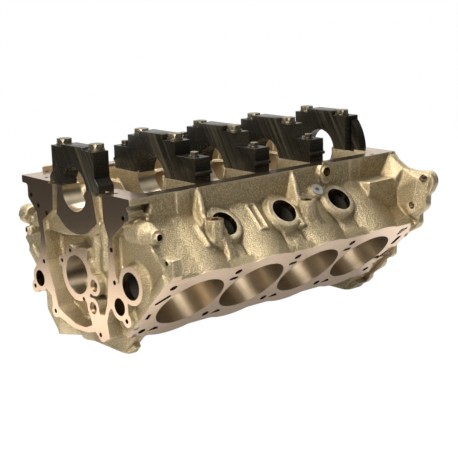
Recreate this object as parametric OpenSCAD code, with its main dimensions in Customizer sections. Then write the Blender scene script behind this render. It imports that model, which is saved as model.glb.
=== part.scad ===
// V8 engine block, upside down on its deck side, with its main bearing caps up.
// The origin is on the crank axis at the middle main bearing.
// +X runs to the rear, -Y is the near bank and +Z is the crankcase side.

/* [Cylinders] */
// Bore of each cylinder
bore_d = 104.8; // [98:0.2:106]
// Distance between neighbouring cylinders of a bank
bore_pitch = 111.25; // [111:0.25:113]
// Distance that the far bank lies behind the near bank
bank_stagger = 21.5; // [18:0.5:24]
// Crank axis to deck face, square to the deck
deck_height = 208.4; // [206:0.2:212]
// Length of a cylinder barrel under the deck
barrel_length = 137; // [130:1:140]
// Thickness of a barrel's wall
barrel_wall = 7; // [5:0.5:8]
// Radius of the jacket bulge round each cylinder
jacket_r = 77.5; // [76:0.5:79]
// Wall of the water jacket
jacket_wall = 7; // [5:0.5:9]
// Thickness of the deck
deck_thick = 14; // [10:1:18]

/* [Crankcase] */
// Main bearing bore
main_bore_d = 62; // [56:0.5:66]
// Half the width over the pan rails
rail_half_width = 136.3; // [134:0.5:139]
// Width of a pan rail's land
rail_land = 21; // [16:1:24]
// Pan rail height above the crank axis
rail_height = 5; // [4:0.5:8]
// Height of the joint between caps and bulkheads above the crank axis
joint_height = 2; // [0:0.5:3]
// Thickness of each bulkhead and of its cap
bulkhead_thick = 28; // [24:1:30]
// Distance from the front face to the pitch line of the first main bearing
front_overhang = 40; // [38.5:0.5:41.5]
// Distance from the pitch line of the last main bearing to the bellhousing face
rear_overhang = 27; // [25.5:0.5:28.5]

/* [Camshaft] */
// Crank axis to cam axis
cam_drop = 121; // [119:0.5:123]
// Cam bearing bore
cam_bore_d = 56; // [50:0.5:58]
// Lifter bore
lifter_bore_d = 22.2; // [20:0.1:23]

/* [Caps and bolts] */
// Top of the plateau of the three middle caps
cap_top = 64; // [62:0.5:68]
// Seat of the inner bolts below the plateau
cap_seat_drop = 7.5; // [5:0.5:9]
// Seat of the outer bolts above the crank axis
cap_outer_seat = 37; // [33:0.5:40]
// Half the spacing of the inner bolts
inner_bolt_y = 40.6; // [40:0.2:42]
// Half the spacing of the outer bolts
outer_bolt_y = 84; // [82:0.5:86]
// Shank of an inner bolt
inner_bolt_d = 12.7; // [11:0.1:13]
// Shank of an outer bolt
outer_bolt_d = 9.5; // [8:0.1:10]

/* [Fits] */
// Gap between a bolt and its hole, all round
bolt_gap = 0.3; // [0.2:0.05:0.5]

/* [Hidden] */
$fn = 64;
eps = 0.5;

cast_colour = [0.66, 0.59, 0.46];
cap_colour = [0.10, 0.10, 0.10];
bolt_colour = [0.42, 0.40, 0.33];
steel_colour = [0.72, 0.72, 0.70];

// Main directions and ends
half_v = 45;
front_length = 2 * bore_pitch + front_overhang;
front_x = -front_length;
rear_x = 2 * bore_pitch + rear_overhang;
bank_x = -bank_stagger / 2;
main_r = main_bore_d / 2;
cam_r = cam_bore_d / 2;
bore_r = bore_d / 2;
barrel_r = bore_r + barrel_wall;
barrel_foot = deck_height - barrel_length;
joint_z = joint_height;
rail_inner = rail_half_width - rail_land;

// Main bearings, from the front: the first is set back from the front face
cap1_front = front_x + 3.3;
cap1_thick = 25;
cap5_thick = 30;
main_x = [cap1_front + 14.5, -bore_pitch, 0, bore_pitch, rear_x - 19.5];

// A distance behind the front face
function fx(behind) = front_x + behind;
// Centre of cylinder i in the bank's own frame
function cyl_x(i) = bank_x + (i - 1.5) * bore_pitch;
// Centre of head bolt column i
function head_bolt_x(i) = bank_x + (i - 2) * bore_pitch;
// Points along an arc
function arc(cx, cy, r, a0, a1, n) =
    [for (i = [0 : n]) [cx + r * cos(a0 + (a1 - a0) * i / n), cy + r * sin(a0 + (a1 - a0) * i / n)]];

// A profile drawn in Y and Z, run along X
module along_x(x0, x1) {
    translate([x0, 0, 0]) rotate([90, 0, 90]) linear_extrude(x1 - x0) children();
}

module rod_x(x0, x1, y, z, r) {
    translate([x0, y, z]) rotate([0, 90, 0]) cylinder(h = x1 - x0, r = r);
}

module cone_x(x0, x1, y, z, r0, r1) {
    translate([x0, y, z]) rotate([0, 90, 0]) cylinder(h = x1 - x0, r1 = r0, r2 = r1);
}

// The near bank's own frame: Y points to its outer side and Z along its bores
module near_bank() {
    rotate([180 - half_v, 0, 0]) children();
}

module both_banks() {
    near_bank() children();
    rotate([0, 0, 180]) near_bank() children();
}

module both_sides() {
    children();
    mirror([0, 1, 0]) children();
}

// Rod from the outer side of a bank towards its cylinders
module rod_out(x, d, y0, y1, r) {
    translate([x, y0, d]) rotate([-90, 0, 0]) cylinder(h = y1 - y0, r = r);
}

// Slot with round ends between two points
module slot_2d(a, b, r) {
    turn = atan2(b[1] - a[1], b[0] - a[0]);
    polygon(concat(
        arc(b[0], b[1], r, turn - 90, turn + 90, 8),
        arc(a[0], a[1], r, turn + 90, turn + 270, 8)
    ));
}

// Deck: the plate that carries a cylinder head
deck_edge_out = 70.7;
deck_edge_in = 72.4;
deck_lobe_r = 78.8;
deck_lobe_shift = -1.8;
deck_front = fx(9);
deck_rear = rear_x - 11.5;
head_bolt_y = 54;
head_bolt_r = 5.6;

module deck_outline() {
    difference() {
        union() {
            translate([deck_front, -deck_edge_in]) {
                square([deck_rear - deck_front, deck_edge_in + deck_edge_out]);
            }
            for (i = [0 : 3]) translate([cyl_x(i), deck_lobe_shift]) circle(deck_lobe_r);
        }
        translate([deck_front - 20, -120]) square([20, 240]);
        translate([deck_front, 0]) {
            polygon([[-eps, 76], [4, 72], [30, deck_edge_out + 9], [0, 90]]);
            polygon([[-eps, -62], [34, -67], [34, -90], [-eps, -90]]);
        }
        polygon([[deck_rear - 20, 72], [deck_rear + 1, 36], [deck_rear + 1, 90], [deck_rear - 20, 90]]);
    }
}

// Bank: bulged outer wall, inner wall and deck
bank_foot = 86;
bank_front = fx(12.5);
bank_rear = rear_x - 15;
web_out = 62;
web_in = 68;
end_wall_out = 75;

module bank_solid() {
    intersection() {
        translate([0, 0, bank_foot]) linear_extrude(deck_height - eps - bank_foot) union() {
            for (i = [0 : 3]) translate([cyl_x(i), 0]) circle(jacket_r);
            translate([bank_front, -web_in]) square([bank_rear - bank_front, web_in + web_out]);
            translate([bank_front, -web_in]) square([cyl_x(0) - bank_front, web_in + end_wall_out]);
        }
        translate([bank_front, -100, bank_foot - 1]) cube([bank_rear - bank_front, 200, deck_height]);
    }
    translate([0, 0, deck_height - deck_thick]) linear_extrude(deck_thick) deck_outline();
}

// Water jacket core, closed at the deck and open at the plug holes
jacket_foot = 122;
jacket_head = deck_height - deck_thick;

module jacket_core() {
    translate([0, 0, jacket_foot]) linear_extrude(jacket_head - jacket_foot) difference() {
        intersection() {
            union() {
                for (i = [0 : 3]) translate([cyl_x(i), 0]) circle(jacket_r - jacket_wall);
            }
            translate([bank_front + jacket_wall, -web_in + jacket_wall]) {
                square([bank_rear - bank_front - 2 * jacket_wall, 2 * jacket_r]);
            }
        }
        for (i = [0 : 3]) translate([cyl_x(i), 0]) circle(barrel_r);
    }
}

// Core plug bosses between the cylinders
plug_d = 38.1;
plug_depth_d = 145;
plug_face = 79.5;
plug_boss_r = 27.5;

module core_plug_bosses() {
    for (j = [-1 : 1]) {
        x = bank_x + j * bore_pitch;
        rod_out(x, plug_depth_d, 50, plug_face, plug_boss_r);
        translate([x, 46, plug_depth_d]) rotate([-90, 0, 0]) {
            cylinder(h = plug_face - 48, r1 = plug_boss_r + 14, r2 = plug_boss_r);
        }
        // web that runs from the boss to the deck
        translate([x - 15, 48, plug_depth_d]) cube([30, 22, deck_height - deck_thick - plug_depth_d + 1]);
    }
}

module core_plug_holes() {
    for (j = [-1 : 1]) {
        rod_out(bank_x + j * bore_pitch, plug_depth_d, 38, plug_face + 1, plug_d / 2);
    }
}

// Widening of the water jacket behind each core plug
plug_wall = 10;
plug_chamber_r = 23.5;

module plug_chambers() {
    for (j = [-1 : 1]) {
        rod_out(bank_x + j * bore_pitch, plug_depth_d, 40, plug_face - plug_wall, plug_chamber_r);
    }
}

module head_bolt_holes() {
    for (i = [0 : 4], side = [-1, 1]) {
        translate([head_bolt_x(i), side * head_bolt_y, deck_height - 44]) cylinder(h = 50, r = head_bolt_r);
    }
}

// Coolant passages through the deck into the jacket
module coolant_holes() {
    translate([0, 0, jacket_head - 2]) linear_extrude(deck_thick + 4) {
        for (i = [1 : 3]) slot_2d([head_bolt_x(i) - 3, 37], [head_bolt_x(i) + 5, 37.5], 3.4);
        for (i = [0 : 3]) {
            x = head_bolt_x(i) + 21;
            polygon([[x - 10, -59], [x + 9, -59], [x + 5, -53], [x, -50.5], [x - 5, -54]]);
        }
        slot_2d([fx(19), 20], [fx(32), 33], 3.4);
        polygon([[fx(18), -6], [fx(24), -8], [fx(24), -21], [fx(18), -19]]);
        slot_2d([rear_x - 29, 18], [rear_x - 28, 32], 4.4);
        slot_2d([rear_x - 33, -23], [rear_x - 25, -8], 3.2);
        slot_2d([rear_x - 39, 46], [rear_x - 32, 57], 3.6);
    }
}

// Dowel seats of the head
deck_dowel_r = 4;
deck_dowel_len = 12;
near_dowel_x = [fx(14.5), rear_x - 27];
far_dowel_x = [14.5 - rear_x, front_length - 36];
deck_dowel_y = -40.5;

module deck_dowel_holes(along) {
    for (x = along) {
        translate([x, deck_dowel_y, deck_height - deck_dowel_len]) {
            cylinder(h = deck_dowel_len + 1, r = deck_dowel_r + bolt_gap);
        }
    }
}

// Lifter bosses stand in the valley, square to the cam
lifter_y = -cam_drop * sin(half_v);
lifter_boss_r = 16.5;
lifter_boss_end = 152;
lifter_offset = 20;

module lifter_bosses() {
    for (i = [0 : 3], side = [-1, 1]) {
        translate([cyl_x(i) + side * lifter_offset, lifter_y, 108]) {
            cylinder(h = lifter_boss_end - 108, r = lifter_boss_r);
        }
    }
}

module lifter_bores() {
    for (i = [0 : 3], side = [-1, 1]) {
        translate([cyl_x(i) + side * lifter_offset, lifter_y, 95]) {
            cylinder(h = lifter_boss_end - 94, r = lifter_bore_d / 2);
        }
    }
}

// Crankcase, bulkheads and the floor of the lifter valley
valley_floor = -152;
valley_half = 51;
front_wall_x = fx(30);
skirt_foot = -40;

module crankcase_solid() {
    along_x(front_wall_x - 1, rear_x) {
        polygon([
            [-rail_half_width, rail_height], [rail_half_width, rail_height],
            [rail_half_width, skirt_foot], [valley_half, valley_floor],
            [-valley_half, valley_floor], [-rail_half_width, skirt_foot]
        ]);
    }
}

// Hollow of one crankcase bay between two bulkheads
bay_r = 85;
bay_wall_foot = -20;
bay_arc_from = 207;

module bay(x0, x1) {
    along_x(x0, x1) {
        polygon(concat(
            [[rail_inner, rail_height + 1], [-rail_inner, rail_height + 1], [-rail_inner, bay_wall_foot]],
            arc(0, 0, bay_r, bay_arc_from, 540 - bay_arc_from, 12),
            [[rail_inner, bay_wall_foot]]
        ));
    }
}

function bulkhead_front(i) = i == 4 ? rear_x - cap5_thick : main_x[i] - bulkhead_thick / 2;
function bulkhead_rear(i) = i == 0 ? fx(34) : main_x[i] + bulkhead_thick / 2;

module bays() {
    for (i = [0 : 3]) bay(bulkhead_rear(i), bulkhead_front(i + 1));
}

module joint_faces() {
    // the bulkheads stop at the joint under their caps
    for (i = [1 : 3]) {
        translate([bulkhead_front(i) - 1, -rail_inner, joint_z]) {
            cube([bulkhead_thick + 2, 2 * rail_inner, 20]);
        }
    }
    translate([front_x - 1, -62, joint_z]) cube([40, 124, 20]);
    translate([bulkhead_front(4) - 1, -cap5_r - 1, joint_z]) cube([40, 2 * cap5_r + 2, 20]);
}

// Main bearing saddles and the cam tunnel
seal_r = 46;
seal_depth = 12;

module crank_and_cam_bores() {
    rod_x(front_x - 1, rear_x + 1, 0, 0, main_r);
    rod_x(rear_x - seal_depth, rear_x + 1, 0, 0, seal_r);
    rod_x(front_x - 1, rear_x + 1, 0, -cam_drop, cam_r);
}

// Front face: timing flange round an open cavity
flange_holes = [
    [-89.9, -69.6], [-93.3, -114.3], [-117.8, -162.9], [-52.2, -197.4],
    [64.5, -188.3], [88.6, -117.8], [118.8, -160.8], [72, -43]
];
corner_holes = [[-120.7, -22], [112.3, -22], [94.1, -34.8]];
water_hole_y = 102.7;
water_hole_z = -146.1;
water_hole_r = 12.3;
front_plug_y = 130.8;
front_plug_z = -111.9;
lug_r = 9.6;

module flange_outer() {
    polygon([
        [-rail_half_width, rail_height], [rail_half_width, rail_height],
        [rail_half_width, -6], [121, -6], [122, -26], [100, -45], [93, -80], [97, -105],
        [112, -127], [85, -160], [73, -166], [71, -194], [50, -196], [18, -203.5],
        [-18, -202], [-40, -196], [-53, -206], [-75, -198.4], [-70, -175], [-77.4, -156],
        [-110, -135], [-97, -105], [-94, -80], [-94, -51], [-119, -31.6], [-131.4, -21],
        [-rail_half_width, -4]
    ]);
    for (side = [-1, 1]) {
        translate([side * water_hole_y, water_hole_z]) circle(water_hole_r + 7);
        translate([side * 118.3, -162]) circle(lug_r);
    }
    translate([64.5, -188.3]) circle(lug_r);
    translate([-56, -197.4]) circle(lug_r);
}

module flange_cavity() {
    polygon([
        [50, rail_height + 1], [54, -35], [75, -50], [84, -54], [82, -81], [78.8, -118.6],
        [64.2, -155.1], [55.8, -181.2], [36.9, -188.6], [9.2, -196], [-14.8, -195],
        [-36.1, -186.7], [-39.2, -174.8], [-50, -168], [-66, -166], [-73, -148],
        [-79.4, -108.4], [-82, -81], [-84, -54], [-78, -42], [-74, -30], [-74, rail_height + 1]
    ]);
}

// Cam boss with its thrust plate and gallery plug bosses
cam_boss_r = 38;
gallery_y = [-41.9, -37.2];
gallery_z = [-128.9, -161.9];
gallery_plug_r = 8.7;
thrust_holes = [[37.6, -106.7], [14.2, -88.2], [-14.3, -153.5]];

module cam_boss_2d() {
    translate([0, -cam_drop]) circle(cam_boss_r);
    for (i = [0 : 1]) translate([gallery_y[i], gallery_z[i]]) circle(gallery_plug_r + 6);
    translate([37.6, -106.7]) circle(8);
    translate([14.2, -88.2]) circle(8);
    polygon([[-25, -150], [-50, -165], [-52, -190], [-34, -190], [-20, -155]]);
    polygon([[-28, -79], [-5, -81], [-5, -90], [-28, -92]]);
}

// Saddle shield: the raised face round the front main bearing, with a shelf below it
shelf_set_back = 7.5;
recess_floor = 14;
recess_foot = -45;
shield_r = 63;

module saddle_shield() {
    along_x(cap1_front, front_wall_x) {
        polygon(concat(
            [[42, joint_z], [-44, joint_z], [-54, -40]],
            arc(0, 0, shield_r, 228, 316, 8),
            [[50.5, -42]]
        ));
    }
    along_x(front_x + shelf_set_back, front_wall_x) {
        polygon([
            [-66, -38], [-66, -41], [-52, -53], [-30, -62], [7, -67.5], [41, -71.2],
            [84, -70], [88, -62], [86, -52], [73, -50], [60, -42], [60, -38]
        ]);
    }
    // floor of the recess on both sides of the shield
    translate([fx(recess_floor), -80, recess_foot]) {
        cube([front_wall_x - fx(recess_floor), 160, rail_height - recess_foot]);
    }
}

// Oil passage ribs from the saddle down to the cam boss: place, radius and length
rib_front_x = fx(8);
rib_top = -45;
oil_ribs = [[-31.5, 11, 70], [-55, 8, 62]];

module oil_rib(y, r, length) {
    translate([rib_front_x + r, y, rib_top - length]) {
        cylinder(h = length, r = r);
        translate([0, -r, 0]) cube([20, 2 * r, length]);
    }
}

// Round boss across the far front corner, with a lug under its pocket
far_boss_x = fx(20);
far_boss_z = -60;
far_boss_r = 15;
far_boss_end = 164;
far_pocket = [141, -67];
far_pocket_r = 9;
far_lug = [138.4, -79];
far_lug_r = 8.5;

module far_corner_boss() {
    translate([far_boss_x, 85, far_boss_z]) rotate([-90, 0, 0]) {
        cylinder(h = far_boss_end - 85, r = far_boss_r);
    }
    rod_x(fx(5), fx(30), far_lug[0], far_lug[1], far_lug_r);
}

module far_corner_machining() {
    rod_x(front_x, fx(14), far_pocket[0], far_pocket[1], far_pocket_r);
    rod_x(front_x, fx(20), far_lug[0], far_lug[1], 3.6);
}

// Thick arm and square boss on the near end of the front wall
arm_x = fx(18);
arm_face_y = -172;
arm_z = -42;
arm_r = 10.5;
arm_root_r = 17;
boss_out = 206;
boss_in = 180;
boss_foot = 100;
boss_top = 66;
square_boss_hole = [-195.8, -71];

module near_corner_bosses() {
    intersection() {
        translate([arm_x, arm_face_y, arm_z]) rotate([-90, 0, 0]) {
            cylinder(h = 8, r = arm_r);
            translate([0, 0, 6]) cylinder(h = 16, r1 = arm_r, r2 = arm_root_r);
            translate([0, 0, 22]) cylinder(h = 32, r = arm_root_r);
        }
        translate([fx(1), -200, -100]) cube([50, 100, 100]);
    }
    // square boss, cut off along the deck
    deck_line = deck_height * sqrt(2);
    along_x(fx(14), fx(30)) {
        polygon([
            [-boss_in, -boss_top], [-boss_out, -boss_top], [-boss_out, boss_out - deck_line],
            [boss_foot - deck_line, -boss_foot], [-boss_in, -boss_foot]
        ]);
    }
    // rod boss under the front lip
    rod_x(front_x, fx(29), -128, -19, 6.3);
}

module near_corner_machining() {
    translate([arm_x, arm_face_y - 1, arm_z]) rotate([-90, 0, 0]) cylinder(h = 18, r = 4.4);
    rod_x(fx(13), fx(26), square_boss_hole[0], square_boss_hole[1], 3.3);
}

// Front face with its bosses
module front_face() {
    along_x(front_x, front_wall_x) {
        difference() {
            flange_outer();
            flange_cavity();
        }
    }
    along_x(front_x, front_wall_x) cam_boss_2d();
    saddle_shield();
    // core plug boss of the near bank
    cone_x(front_x, fx(24), -front_plug_y, front_plug_z, 26, 34);
    rod_x(front_x, fx(24), -water_hole_y, water_hole_z, water_hole_r + 7);
    rod_x(front_x, fx(24), -118.3, -162, lug_r);
    for (rib = oil_ribs) oil_rib(rib[0], rib[1], rib[2]);
    far_corner_boss();
    // ear on the far rail
    translate([fx(56), 139, -12]) cylinder(h = rail_height + 12, r = 16.5);
}

// Front wall of each bank: the water passages and the near core plug end inside it
near_wall_end = fx(24);
far_wall_end = fx(42);
front_chamber_r = 22;

module front_chamber() {
    rod_x(fx(9), near_wall_end + 2, -front_plug_y, front_plug_z, front_chamber_r);
}

module front_machining() {
    rod_x(front_x - 1, near_wall_end, -water_hole_y, water_hole_z, water_hole_r);
    rod_x(front_x - 1, far_wall_end, water_hole_y, water_hole_z, water_hole_r);
    rod_x(front_x - 1, near_wall_end, -front_plug_y, front_plug_z, plug_d / 2);
    for (p = flange_holes) rod_x(front_x - 1, fx(18), p[0], p[1], 3.4);
    for (p = thrust_holes) rod_x(front_x - 1, fx(18), p[0], p[1], 3);
    for (i = [0 : 1]) rod_x(front_x - 1, fx(30), gallery_y[i], gallery_z[i], gallery_plug_r);
    for (p = corner_holes) rod_x(front_x - 1, fx(16), p[0], p[1], 3.4);
    for (side = [-1, 1]) {
        translate([fx(13.3), side * 88, rail_height - 18]) cylinder(h = 20, r = 3.4);
    }
    far_corner_machining();
    near_corner_machining();
    // recess under the lip of the far rail corner, and a groove over the near rod boss
    translate([front_x - 1, 122, -64]) cube([36, 20, 58]);
    translate([front_x - 1, -rail_half_width - 1, -12]) cube([35, 9, 7]);
    translate([fx(24), -rail_half_width - 1, -17]) cube([10, 15, 11]);
}

// Rails across both ends of the lifter valley
china_foot = -226.5;
china_half = 68.2;
dist_x = fx(50);
dist_y = 22;
dist_r = 29;

valley_wall_top = valley_floor + 20;
rear_wall_length = 46.6;

// Section across the valley: a rail foot with sloping flanks
module valley_section(x0, x1) {
    along_x(x0, x1) {
        polygon([[-100, valley_wall_top + 1], [100, valley_wall_top + 1], [100, -194.5],
                 [china_half, china_foot], [-china_half, china_foot], [-100, -194.5]]);
    }
}

module front_valley_wall() {
    difference() {
        intersection() {
            translate([0, 0, china_foot]) linear_extrude(valley_wall_top - china_foot) {
                polygon([[fx(30), -110], [fx(44), -110], [fx(44), 40], [fx(58), 50], [fx(58), 110],
                         [fx(6), 110], [fx(6), 68], [fx(20), 50], [fx(30), 40]]);
            }
            valley_section(fx(2), fx(90));
        }
        timing_cavity();
    }
    // boss of the distributor, in two steps
    translate([dist_x, dist_y, china_foot]) {
        cylinder(h = 31, r = dist_r);
        cylinder(h = 40, r = dist_r - 3);
    }
    // near end of the front rail
    intersection() {
        translate([fx(26), -110, china_foot]) cube([18, 130, 40]);
        valley_section(fx(2), fx(90));
    }
}

// The timing cavity, kept clear of the valley wall
module timing_cavity() {
    along_x(front_x - 1, front_wall_x) flange_cavity();
}

module rear_valley_wall() {
    valley_section(rear_x - rear_wall_length, rear_x);
}

module distributor_bore() {
    translate([dist_x, dist_y, china_foot - 1]) cylinder(h = 92, r = 16);
    translate([dist_x, dist_y, china_foot - 1]) cylinder(h = 6, r = 21);
}

// Bellhousing flange with one ear on each side
bell_thick = 12;
bell_bolts = [[-209, -27.5], [-188.5, -72], [-131, -158]];

module bell_outline() {
    polygon(concat(
        [[1, -2], [-130, -2], [-rail_half_width, rail_height]],
        arc(-186, 43, 63, 322.5, 262, 8),
        arc(-210, -32, 15, 100, 200, 5),
        [[-218, -49], [-211, -55], [-211, -71], [-206, -79], [-196, -86], [-197, -101]],
        [[-193, -108], [-167, -123], [-155, -131], [-143.5, -144.5], [-143, -161]],
        [[-136, -167], [-121, -172.5], [-122.5, -178.5], [-118, -186], [-98.5, -199]],
        [[-92.7, -203], [-92.7, -210], [-82.5, -219.3], [-china_half, china_foot], [1, china_foot]]
    ));
}

module bell_flange() {
    both_sides() along_x(rear_x - bell_thick, rear_x) bell_outline();
    for (side = [0, 1]) mirror([0, side, 0]) {
        ear_wedge();
        ear_brace();
        rear_shelf();
    }
}

// Wedge between the skirt and the flange, above the ear
module ear_wedge() {
    hull() {
        along_x(rear_x - 31, rear_x - 30) polygon([[-134, -26], [-165.6, -32.4], [-154, -54], [-134, -60]]);
        along_x(rear_x - bell_thick, rear_x - 11) polygon([[-134, 3], [-165, -16], [-165, -60], [-134, -60]]);
    }
}

// Low pyramid that stiffens the ear
module ear_brace() {
    hull() {
        along_x(rear_x - 22, rear_x - 21) polygon([[-147.4, -55.2], [-201.2, -26.7], [-186.8, -86.3]]);
        along_x(rear_x - bell_thick, rear_x - 11) {
            polygon([[-165, -20], [-213, -24], [-211, -71], [-196, -95], [-150, -100]]);
        }
    }
}

// Shelf along the rear end of the skirt
module rear_shelf() {
    translate([rear_x - 87, -162, -80]) cube([61, 32, 50]);
}

module bell_holes() {
    both_sides() {
        for (p = bell_bolts) rod_x(rear_x - 45, rear_x + 1, p[0], p[1], 5.8);
        rod_x(rear_x - 14, rear_x + 1, -165, -100, bell_dowel_r + bolt_gap);
    }
}

// Engine mount bosses, upright on the outer wall of each bank
mount_boss_x = [fx(120), fx(295)];
mount_boss_y = -163;
mount_boss_top = -36;
mount_boss_r = 12;
mount_boss_foot = -80;

module mount_bosses() {
    for (x = mount_boss_x) {
        mount_column(x);
        mount_fin(x);
        mount_web(x);
        near_bank() translate([x - 23, 75, 138]) cylinder(h = 36, r = 5.5);
    }
}

// Upright column with two soft ribs towards the outer side
module mount_column(x) {
    translate([x, mount_boss_y, mount_boss_foot]) {
        cylinder(h = mount_boss_top - mount_boss_foot, r = mount_boss_r);
        for (turn = [220, 277]) rotate([0, 0, turn]) translate([9, 0, 0]) {
            cylinder(h = mount_boss_top - mount_boss_foot - 4, r = 4.4);
        }
    }
}

// Fin that runs from the rail down to the front of the boss
module mount_fin(x) {
    fin_foot = -60;
    rail_edge = -rail_half_width + 2;
    intersection() {
        along_x(x - 20, x) {
            polygon([
                [rail_edge, rail_height], [-rail_half_width - 1, rail_height],
                [mount_boss_y + 5, mount_boss_top + 2], [mount_boss_y + 5, fin_foot], [rail_edge, fin_foot]
            ]);
        }
        translate([0, rail_edge, 0]) rotate([90, 0, 0]) linear_extrude(40) {
            polygon([
                [x - 8, rail_height], [x - 4, rail_height], [x - 6.5, mount_boss_top],
                [x - 6.5, fin_foot], [x - 17, fin_foot], [x - 17, mount_boss_top + 1]
            ]);
        }
    }
}

// Web that runs from behind the boss down to the deck's edge
module mount_web(x) {
    web_top = mount_boss_top - 5;
    web_foot = -98;
    intersection() {
        along_x(x, x + 24) {
            polygon([
                [-148, web_top], [mount_boss_y - 5, web_top], [-190, web_foot + 6],
                [-190, web_foot], [-148, web_foot]
            ]);
        }
        translate([0, -140, 0]) rotate([90, 0, 0]) linear_extrude(60) {
            polygon([[x + 4, web_top], [x + 11.5, web_top], [x + 21, web_foot], [x + 4, web_foot]]);
        }
    }
}

module mount_holes() {
    for (x = mount_boss_x) {
        translate([x, mount_boss_y, -66]) cylinder(h = 40, r = 5.4);
    }
}

// Small fittings on the near wall
oval_boss_x = fx(350.5);
oval_boss_face = 6.7;
side_plug_x = fx(331.5);
side_plug_d = 123;
side_plug_seat = jacket_r + 2.5;
side_plug_depth = 11;
side_plug_r = 8;
side_ring_r = 9.5;

module near_wall_details() {
    // pilasters on the skirt
    for (x = [fx(77), fx(409.4)]) {
        translate([x, -rail_half_width - 1.6, -30]) cube([21, 6, 30 + rail_height]);
    }
    // oval boss with a tapped pocket, cut off at the rail
    translate([oval_boss_x, -rail_half_width - oval_boss_face, 0]) rotate([-90, 0, 0]) {
        linear_extrude(10) intersection() {
            union() {
                translate([0, 5]) circle(12);
                translate([2.5, 14]) circle(10);
            }
            translate([-20, -rail_height]) square([40, 60]);
        }
    }
    near_bank() {
        // boss of the side plug
        rod_out(side_plug_x, side_plug_d, 60, side_plug_seat, side_ring_r + 1.5);
        bare_frame();
        // small square pad under the deck's edge
        translate([fx(246), 60, 190]) cube([9, 11.6, 9]);
    }
    near_corner_bosses();
}

module near_wall_machining() {
    translate([oval_boss_x, -rail_half_width - 8, -5]) rotate([-90, 0, 0]) cylinder(h = 12, r = 7);
    near_bank() {
        hole_foot = side_plug_seat - side_plug_depth;
        rod_out(side_plug_x, side_plug_d, hole_foot, side_plug_seat + 1, side_plug_r + bolt_gap);
    }
}

// Bare raised frame on the second jacket bulge
frame_x = fx(193.5);
frame_foot = 121;
frame_width = 16;
frame_length = 45;
frame_border = 3;
frame_proud = 2.5;

module bare_frame() {
    translate([frame_x, 60, frame_foot]) difference() {
        cube([frame_width, jacket_r - 60 + frame_proud, frame_length]);
        translate([frame_border, -1, frame_border]) {
            cube([frame_width - 2 * frame_border, jacket_r, frame_length - 2 * frame_border]);
        }
    }
}

// Tapped holes along the pan rails
rail_bolt_y = 129.6;
rail_bolt_pitch = 61.1;
rail_bolt_count = 8;
rail_bolt_r = 3.4;

module rail_holes() {
    for (i = [0 : rail_bolt_count - 1], side = [-1, 1]) {
        translate([fx(38.7) + i * rail_bolt_pitch, side * rail_bolt_y, rail_height - 18]) {
            cylinder(h = 20, r = rail_bolt_r);
        }
    }
}

// Tapped holes and dowel seats under the caps
bolt_reach = 45;
cap_dowel_r = 3.2;
cap_dowel_len = 16;
function cap_dowel_y(i) = i == 4 ? 52.5 : 63;

module cap_bolt_holes() {
    for (i = [0 : 4], side = [-1, 1]) {
        translate([main_x[i], side * inner_bolt_y, joint_z - bolt_reach - 2]) {
            cylinder(h = bolt_reach + 3, r = inner_bolt_d / 2 + bolt_gap);
        }
    }
    cap_dowel_seats();
    for (i = [1 : 3], side = [-1, 1]) {
        translate([main_x[i], side * outer_bolt_y, joint_z - bolt_reach + 10]) {
            cylinder(h = bolt_reach, r = outer_bolt_d / 2 + bolt_gap);
        }
    }
}

module cap_dowel_seats() {
    for (i = [1 : 4], side = [-1, 1]) {
        translate([main_x[i], side * cap_dowel_y(i), joint_z - cap_dowel_len / 2 - bolt_gap]) {
            cylinder(h = cap_dowel_len + 2 * bolt_gap, r = cap_dowel_r + bolt_gap);
        }
    }
}

module block_casting() {
    color(cast_colour) difference() {
        union() {
            difference() {
                union() {
                    crankcase_solid();
                    both_banks() bank_solid();
                    front_face();
                    bell_flange();
                    front_valley_wall();
                    rear_valley_wall();
                    both_banks() core_plug_bosses();
                    both_banks() lifter_bosses();
                    mount_bosses();
                    rotate([0, 0, 180]) mount_bosses();
                }
                bays();
                both_banks() {
                    jacket_core();
                    plug_chambers();
                }
                front_chamber();
            }
            both_banks() for (i = [0 : 3]) {
                translate([cyl_x(i), 0, barrel_foot]) {
                    cylinder(h = jacket_foot + 5 - barrel_foot, r = barrel_r);
                }
            }
            near_wall_details();
        }
        joint_faces();
        both_banks() for (i = [0 : 3]) {
            translate([cyl_x(i), 0, barrel_foot - 1]) cylinder(h = barrel_length + 2, r = bore_r);
        }
        crank_and_cam_bores();
        front_machining();
        both_banks() {
            core_plug_holes();
            head_bolt_holes();
            coolant_holes();
            lifter_bores();
        }
        near_bank() deck_dowel_holes(near_dowel_x);
        rotate([0, 0, 180]) near_bank() deck_dowel_holes(far_dowel_x);
        distributor_bore();
        bell_holes();
        mount_holes();
        rotate([0, 0, 180]) mount_holes();
        near_wall_machining();
        rail_holes();
        cap_bolt_holes();
        // nothing stands past the bellhousing face
        translate([rear_x, -300, -300]) cube([60, 600, 400]);
    }
}

// Seats and tops of the caps
cap_seat = cap_top - cap_seat_drop;
cap1_half = 53.3;
cap1_top = 61;
cap1_seat = 57.4;
cap5_r = 76;
cap5_half = 57.5;
cap5_top = 63;
cap5_rear_thick = 15;
inner_head_r = 10.5;
outer_head_r = 6;
washer_margin = 0.8;
plateau_half = inner_bolt_y - inner_head_r - washer_margin - bolt_gap;

module cap_holes(i) {
    for (side = [-1, 1]) {
        translate([main_x[i], side * inner_bolt_y, joint_z - 1]) {
            cylinder(h = cap_top + 2, r = inner_bolt_d / 2 + bolt_gap);
        }
    }
    if (i > 0) cap_dowel_seats();
    rod_x(main_x[i] - 30, main_x[i] + 30, 0, 0, main_r);
}

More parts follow.
